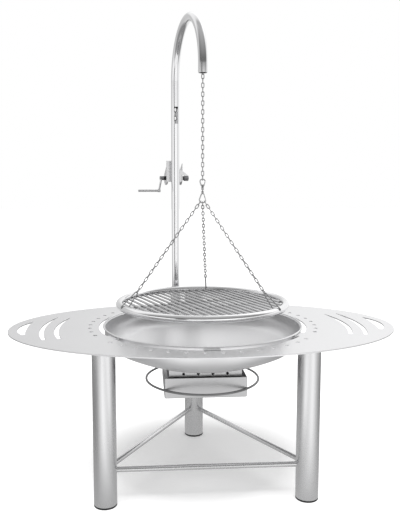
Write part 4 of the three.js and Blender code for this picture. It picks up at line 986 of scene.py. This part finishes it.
def hook_path(hook):
    """The wire's middle: from the nose round the wide bend to the narrow bend and its heel, in X
    and Z."""
    up = hook["up"]
    narrow_end = hook["bottom"] if up > 0 else hook["top"]
    narrow_middle = narrow_end + up * (hook_wire + hook["narrow"])
    wide = np.radians(np.linspace(nose_angle, 180, hook_steps))
    narrow = np.radians(np.linspace(180, 360 - nose_angle, hook_steps))
    rounds = [(wide, hook["wide"], wide_middle(hook)), (narrow, hook["narrow"], narrow_middle)]
    across = np.concatenate([radius * np.cos(angle) for angle, radius, _ in rounds])
    height = np.concatenate([middle + up * radius * np.sin(angle) for angle, radius, middle in rounds])
    return np.stack([across, 0 * across, height], 1)


def gate(hook):
    """A hook's gate: a rod along the line from its heel to its nose, short of both by their gaps."""
    path = hook_path(hook)
    way = unit(path[0] - path[-1])
    heel, nose = path[-1] + way * gate_heel_gap, path[0] - way * gate_nose_gap
    return rod(heel, nose, gate_wire, gate_wire / 2, hook_sides)


barrel_top = upper_hook["bottom"] + 2 * hook_wire + seat_gap
barrel_profile = [(shank_radius + shank_play, barrel_bottom), (barrel_radius - foot_edge, barrel_bottom),
                  (barrel_radius, barrel_bottom + foot_edge), (barrel_radius, barrel_top - foot_edge),
                  (barrel_radius - foot_edge / 2, barrel_top), (shank_radius + shank_play, barrel_top)]
upper_wire = carried(hook_path(upper_hook), hook_wire, (0, 1, 0), hook_sides)
upper = gathered([upper_wire, turned(barrel_profile, ball_sides, True)])
make_piece("snap_hook_upper", upper, chain_steel, "suspension", "chain_steel", "upper_snap_hook")
make_piece("gate_upper", gate(upper_hook), chain_steel, "upper_gate", "chain_steel", "upper_hook_gate")
head_bottom = barrel_top + seat_gap
head_top = head_bottom + head_height
shank_profile = [(0, ball_height), (shank_radius, ball_height), (shank_radius, head_bottom),
                 (head_radius, head_bottom), (head_radius, head_top), (0, head_top)]
ball = turned(arc(0, ball_height, ball_radius, -90, 90, ball_steps), ball_sides)
lower_wire = carried(hook_path(lower_hook), hook_wire, (0, 1, 0), hook_sides)
lower = gathered([lower_wire, ball, turned(shank_profile, shank_sides)])
make_piece("snap_hook_lower", lower, chain_steel, "grate_set", "chain_steel", "lower_snap_hook")
make_piece("gate_lower", gate(lower_hook), chain_steel, "lower_gate", "chain_steel", "lower_hook_gate")

# Cooking grate: a rim of polished stainless tube, with round bars welded into its inner side and to
# two bearers under them.
grate_radius = 0.353
rim_tube = 0.014
rim_height = 0.741
bar_radius = 0.005
bar_height = 0.737
bar_pitch = 0.030
bars_each_side = 10
bar_angle = 111.5
bar_bite = 0.0015
bar_sides = 20
rim_sides, rim_steps = 200, 33
bearer_half = 0.066
grate_shades = (0.80, 0.86)
bar_shades = (0.54, 0.60)
grate_steel = satin_steel("grate_satin", grate_shades, (0.10, 0.16),
                          brushing=(6, 6, 30), grain=80, relief=0.01)
bar_steel = satin_steel("grate_bar_satin", bar_shades, (0.20, 0.28),
                        brushing=(20, 20, 20), grain=60, relief=0.03)

rim_middle = grate_radius - rim_tube
rim_profile = arc(rim_middle, rim_height, rim_tube, 0, 360, rim_steps)[:-1]
rim = turned(rim_profile, rim_sides, True)
make_piece("grate_ring", rim, grate_steel, "grate_set", "grate_steel", "grate_rim")

bar_reach = rim_middle - math.sqrt(rim_tube**2 - (rim_height - bar_height) ** 2) + bar_bite
bars = []
for i in range(-bars_each_side, bars_each_side + 1):
    y = i * bar_pitch
    half = math.sqrt(bar_reach**2 - (abs(y) + bar_radius) ** 2)
    bars.append(rod((-half, y, bar_height), (half, y, bar_height), bar_radius, tube_edge, bar_sides))
bearer_height = bar_height - 2 * bar_radius + bar_bite
for x in (-bearer_half, bearer_half):
    half = math.sqrt(bar_reach**2 - (bearer_half + bar_radius) ** 2)
    bars.append(rod((x, -half, bearer_height), (x, half, bearer_height), bar_radius, tube_edge, bar_sides))
bar_way = (*direction(bar_angle), 0)
bar_side = (*direction(bar_angle + 90), 0)
grid = moved(gathered(bars), [bar_way, bar_side, z_way])
make_piece("grate_grid", grid, bar_steel, "grate_set", "grate_steel", "grate_bars")

# Bridle: three long loops of stainless wire, bent over the rim with their ends welded into its inner
# and outer side. A chain runs from each loop up to the lower hook.
hanger_angles = {"rear": 82, "left": 202, "right": 322}
seat_angles = {"rear": 0, "left": -45, "right": 45}
hanger_wire = 0.0024
hanger_sides = 12
hanger_apex = 0.005
hanger_length = 0.078
inner_foot, outer_foot = (-0.0125, 0.001), (0.009, 0.004)
rim_bend = np.radians(np.linspace(52, 22, 6))
hook_seat_height = wide_middle(lower_hook) - lower_hook["wide"]
up_chain = unit((-rim_middle, 0, hook_seat_height - rim_height))
off_chain = np.cross(y_way, up_chain)
apex_bend = np.radians(np.linspace(-84, 84, 15))[:, None]
rim_place = np.array([rim_middle, 0, rim_height])
apex_middle = rim_place + hanger_length * up_chain
hanger_path = np.concatenate([
    [rim_place + (inner_foot[0], 0, inner_foot[1])],
    apex_middle + hanger_apex * (np.cos(apex_bend) * up_chain + np.sin(apex_bend) * off_chain),
    rim_place + (rim_tube + hanger_wire) * np.stack([np.cos(rim_bend), 0 * rim_bend, np.sin(rim_bend)], 1),
    [rim_place + (outer_foot[0], 0, outer_foot[1])],
])
for name, degrees in hanger_angles.items():
    outwards, around_rim = (*direction(degrees), 0), (*direction(degrees + 90), 0)
    hanger = moved(carried(hanger_path, hanger_wire, (0, 1, 0), hanger_sides), [outwards, around_rim, z_way])
    make_piece(f"rim_hanger_{name}", hanger, chain_steel, "grate_set", "chain_steel", f"hanger_{name}")
    seat = math.radians(seat_angles[name])
    on_hook = np.array([lower_hook["wide"] * math.sin(seat), 0,
                        wide_middle(lower_hook) - lower_hook["wide"] * math.cos(seat)])
    on_ring = np.array([*(apex_middle[0] * direction(degrees)), apex_middle[2]])
    way = unit(on_ring - on_hook)
    start = on_hook - way * (hook_wire + seat_gap)
    end = on_ring + way * (hanger_wire + seat_gap - hanger_apex)
    hook_way = np.array([math.cos(seat), 0, math.sin(seat)])
    ring_way = np.cross(np.cross(z_way, outwards), way)
    bridle = gathered(chain(start, end, hook_way, ring_way))
    make_piece(f"bridle_{name}", bridle, chain_steel, "grate_set", "chain_steel", f"bridle_chain_{name}")

# Studio: a white floor that keeps the grill's shadow near it and clears to plain white further out
# by a painted glow, seen only by the camera, that grows away from the grill. Steel sees the same
# floor as a painted glow with light and dark sides, as under the softboxes and flags of a studio,
# and near the grill as one even painted shade in place of the grill's shadow.
floor_reach = 30.0
floor_drop = 0.0008
floor_middle = (0, 0.14, 0)
floor_colour = (0.9, 0.9, 0.9, 1)
plain_white = (1, 1, 1, 1)
# The lift is the floor's painted glow to the camera: weak over the shadow near the grill, full further out.
lift_reach, lift_levels = (0.36, 0.66), (0.25, 0.80)
# Near the grill, steel sees the floor at one even painted shade that stands for the grill's shadow.
shade_reach = (0.40, 1.30)
shade_level = 0.52
floor_sides = [(0, 0.30), (0.27, 0.32), (0.33, 0.45), (0.37, 0.85), (0.433, 1.40), (0.51, 0.98),
               (0.594, 1.30), (0.67, 0.75), (0.72, 0.45), (0.79, 0.28), (1, 0.30)]
room_levels = [(0, 0.88), (0.035, 0.72), (0.144, 0.62), (0.25, 0.95), (0.33, 1.25), (0.388, 1.0),
               (0.397, 0.04), (0.429, 0.04), (0.438, 1.0), (0.50, 1.20), (0.556, 1.45), (0.667, 0.85),
               (0.75, 1.05), (0.945, 1.05), (1, 0.88)]
far_reach = (2.5, 6.0)
side_gain = 1.5
floor_points = np.array([(-1, -1), (1, -1), (1, 1), (-1, 1)]) * floor_reach
floor_mesh = bpy.data.meshes.new("studio_floor")
floor_mesh.from_pydata([(x, y, -floor_drop) for x, y in floor_points], [], [(0, 1, 2, 3)])
new_object("studio_floor", floor_mesh)


def room_sides(tree, way, levels):
    """A room's light by compass angle: arctangent of X over minus Y, from 0 at the back, through
    the left, the front at a half and the right, to 1 at the back again."""
    parts = new_node(tree, "SeparateXYZ", {0: way}).outputs
    angle = new_math(tree, "ARCTAN2", parts["X"], new_math(tree, "MULTIPLY", parts["Y"], -1))
    turn_share = new_math(tree, "MULTIPLY_ADD", angle, 0.5 / math.pi, 0.5)
    walls = new_node(tree, "ValToRGB", {"Fac": turn_share})
    stops = walls.color_ramp.elements
    for i, (place, level) in enumerate(levels):
        stop = stops[i] if i < 2 else stops.new(place)
        stop.position = place
        stop.color = (*[level / side_gain] * 3, 1)
    return new_math(tree, "MULTIPLY", walls.outputs["Color"], side_gain)


floor_white, tree, surface = new_material("floor_white")
ray = new_node(tree, "LightPath").outputs
place = new_node(tree, "TexCoord").outputs["Object"]
distance = new_node(tree, "VectorMath", {0: place, 1: floor_middle}, operation="DISTANCE")
distance = distance.outputs["Value"]
# Painted glow for camera rays, weaker near the grill.
lift = eased(tree, distance, *lift_reach, *lift_levels)
fed(tree, surface, {
    "Base Color": floor_colour, "Roughness": 1.0, "Specular IOR Level": 0.0, "Emission Color": plain_white,
    "Emission Strength": new_math(tree, "MULTIPLY", ray["Is Camera Ray"], lift),
})
near_sides = room_sides(tree, place, floor_sides)
far_sides = room_sides(tree, place, room_levels)
change = new_math(tree, "SUBTRACT", far_sides, near_sides)
sides = new_math(tree, "MULTIPLY_ADD", change, eased(tree, distance, *far_reach), near_sides)
# Painted shade near the grill for glossy rays, in place of the grill's shadow.
beyond = new_math(tree, "SUBTRACT", sides, shade_level)
level = new_math(tree, "MULTIPLY_ADD", beyond, eased(tree, distance, *shade_reach), shade_level)
mirrored = new_node(tree, "Emission", {"Strength": level}).outputs[0]
shown = new_node(tree, "MixShader", {0: ray["Is Glossy Ray"], 1: surface.outputs[0], 2: mirrored})
fed(tree, tree.nodes["Material Output"], {"Surface": shown.outputs[0]})
floor_white.cycles.emission_sampling = "NONE"
floor_mesh.materials.append(floor_white)

# Surround: plain white to the camera and an even light on dull surfaces. Steel sees a white room with
# a few darker sides, a dim ceiling towards the front and a brighter panel high at the back.
surround_light = 0.50
front_reach, overhang_reach = (0.25, -0.15), (0.12, 0.24)
overhead_reach = (0.80, 0.95)
ceiling_reach, ceiling_levels = (0.30, 1.0), (0.18, 0.55)
back_reach, back_rise, back_box_level = (0.15, 0.35), (0.40, 0.55), 0.40
world = bpy.data.worlds.new("studio")
bpy.context.scene.world = world
world.use_nodes = True
world.cycles.sampling_method = "NONE"
tree = world.node_tree
way = new_node(tree, "TexCoord").outputs["Generated"]
ray = new_node(tree, "LightPath").outputs
parts = new_node(tree, "SeparateXYZ", {0: way}).outputs
in_front = eased(tree, parts["Y"], *front_reach)
overhang = new_math(tree, "MULTIPLY", in_front, eased(tree, parts["Z"], *overhang_reach))
ceiling = new_math(tree, "MAXIMUM", overhang, eased(tree, parts["Z"], *overhead_reach))
sides = room_sides(tree, way, room_levels)
lowered = new_math(tree, "SUBTRACT", eased(tree, parts["Z"], *ceiling_reach, *ceiling_levels), sides)
room_level = new_math(tree, "MULTIPLY_ADD", lowered, ceiling, sides)
behind = eased(tree, parts["Y"], *back_reach)
back_box = new_math(tree, "MULTIPLY", behind, eased(tree, parts["Z"], *back_rise))
room_level = new_math(tree, "MULTIPLY_ADD", back_box, back_box_level, room_level)
soft = fed(tree, tree.nodes["Background"], {"Color": plain_white, "Strength": surround_light}).outputs[0]
white = new_node(tree, "Background", {"Color": plain_white}).outputs[0]
room = new_node(tree, "Background", {"Color": plain_white, "Strength": room_level}).outputs[0]
steel_ray = new_math(tree, "MAXIMUM", ray["Is Glossy Ray"], ray["Is Transmission Ray"])
seen = new_node(tree, "MixShader", {0: steel_ray, 1: soft, 2: room}).outputs[0]
seen = new_node(tree, "MixShader", {0: ray["Is Camera Ray"], 1: seen, 2: white}).outputs[0]
fed(tree, tree.nodes["World Output"], {0: seen})

# Lamps: three rectangular softboxes in front of the grill and above it, each given by its place, its
# width and height, and its power. Steel doesn't mirror them.
grill_middle = (0, 0, 0.7)
softboxes = {
    "key_box": ((-2.2, -2.0, 3.0), (1.6, 1.6), 30),
    "fill_box": ((2.4, -1.8, 2.6), (1.2, 1.6), 26),
    "top_box": ((0.0, -1.4, 3.4), (2.0, 1.4), 55),
}
for name, (place, size, power) in softboxes.items():
    lamp = bpy.data.lights.new(name, "AREA")
    lamp.shape = "RECTANGLE"
    lamp.size, lamp.size_y = size
    lamp.energy = power
    holder = new_object(name, lamp)
    holder.location = place
    holder.visible_glossy = False
    holder.rotation_euler = (Vector(grill_middle) - Vector(place)).to_track_quat("-Z", "Y").to_euler()

# Camera: where the photograph was taken from, a little left of the grill's middle and at chest
# height, looking slightly down and to the right.
camera_place = (-0.2341, -2.57596, 1.2184)
camera_down = 6.07
camera_right = (0.9974, 0.0719)
camera_lens = 43.61
camera_shift = (0.0185, -0.0167)
camera_data = bpy.data.cameras.new("camera")
camera_data.lens = camera_lens
camera_data.shift_x, camera_data.shift_y = camera_shift
camera = new_object("camera", camera_data)
camera.location = camera_place
camera.rotation_euler = (math.radians(90 - camera_down), 0, -math.atan2(camera_right[1], camera_right[0]))
bpy.context.scene.camera = camera
bpy.context.scene.view_settings.view_transform = "Standard"
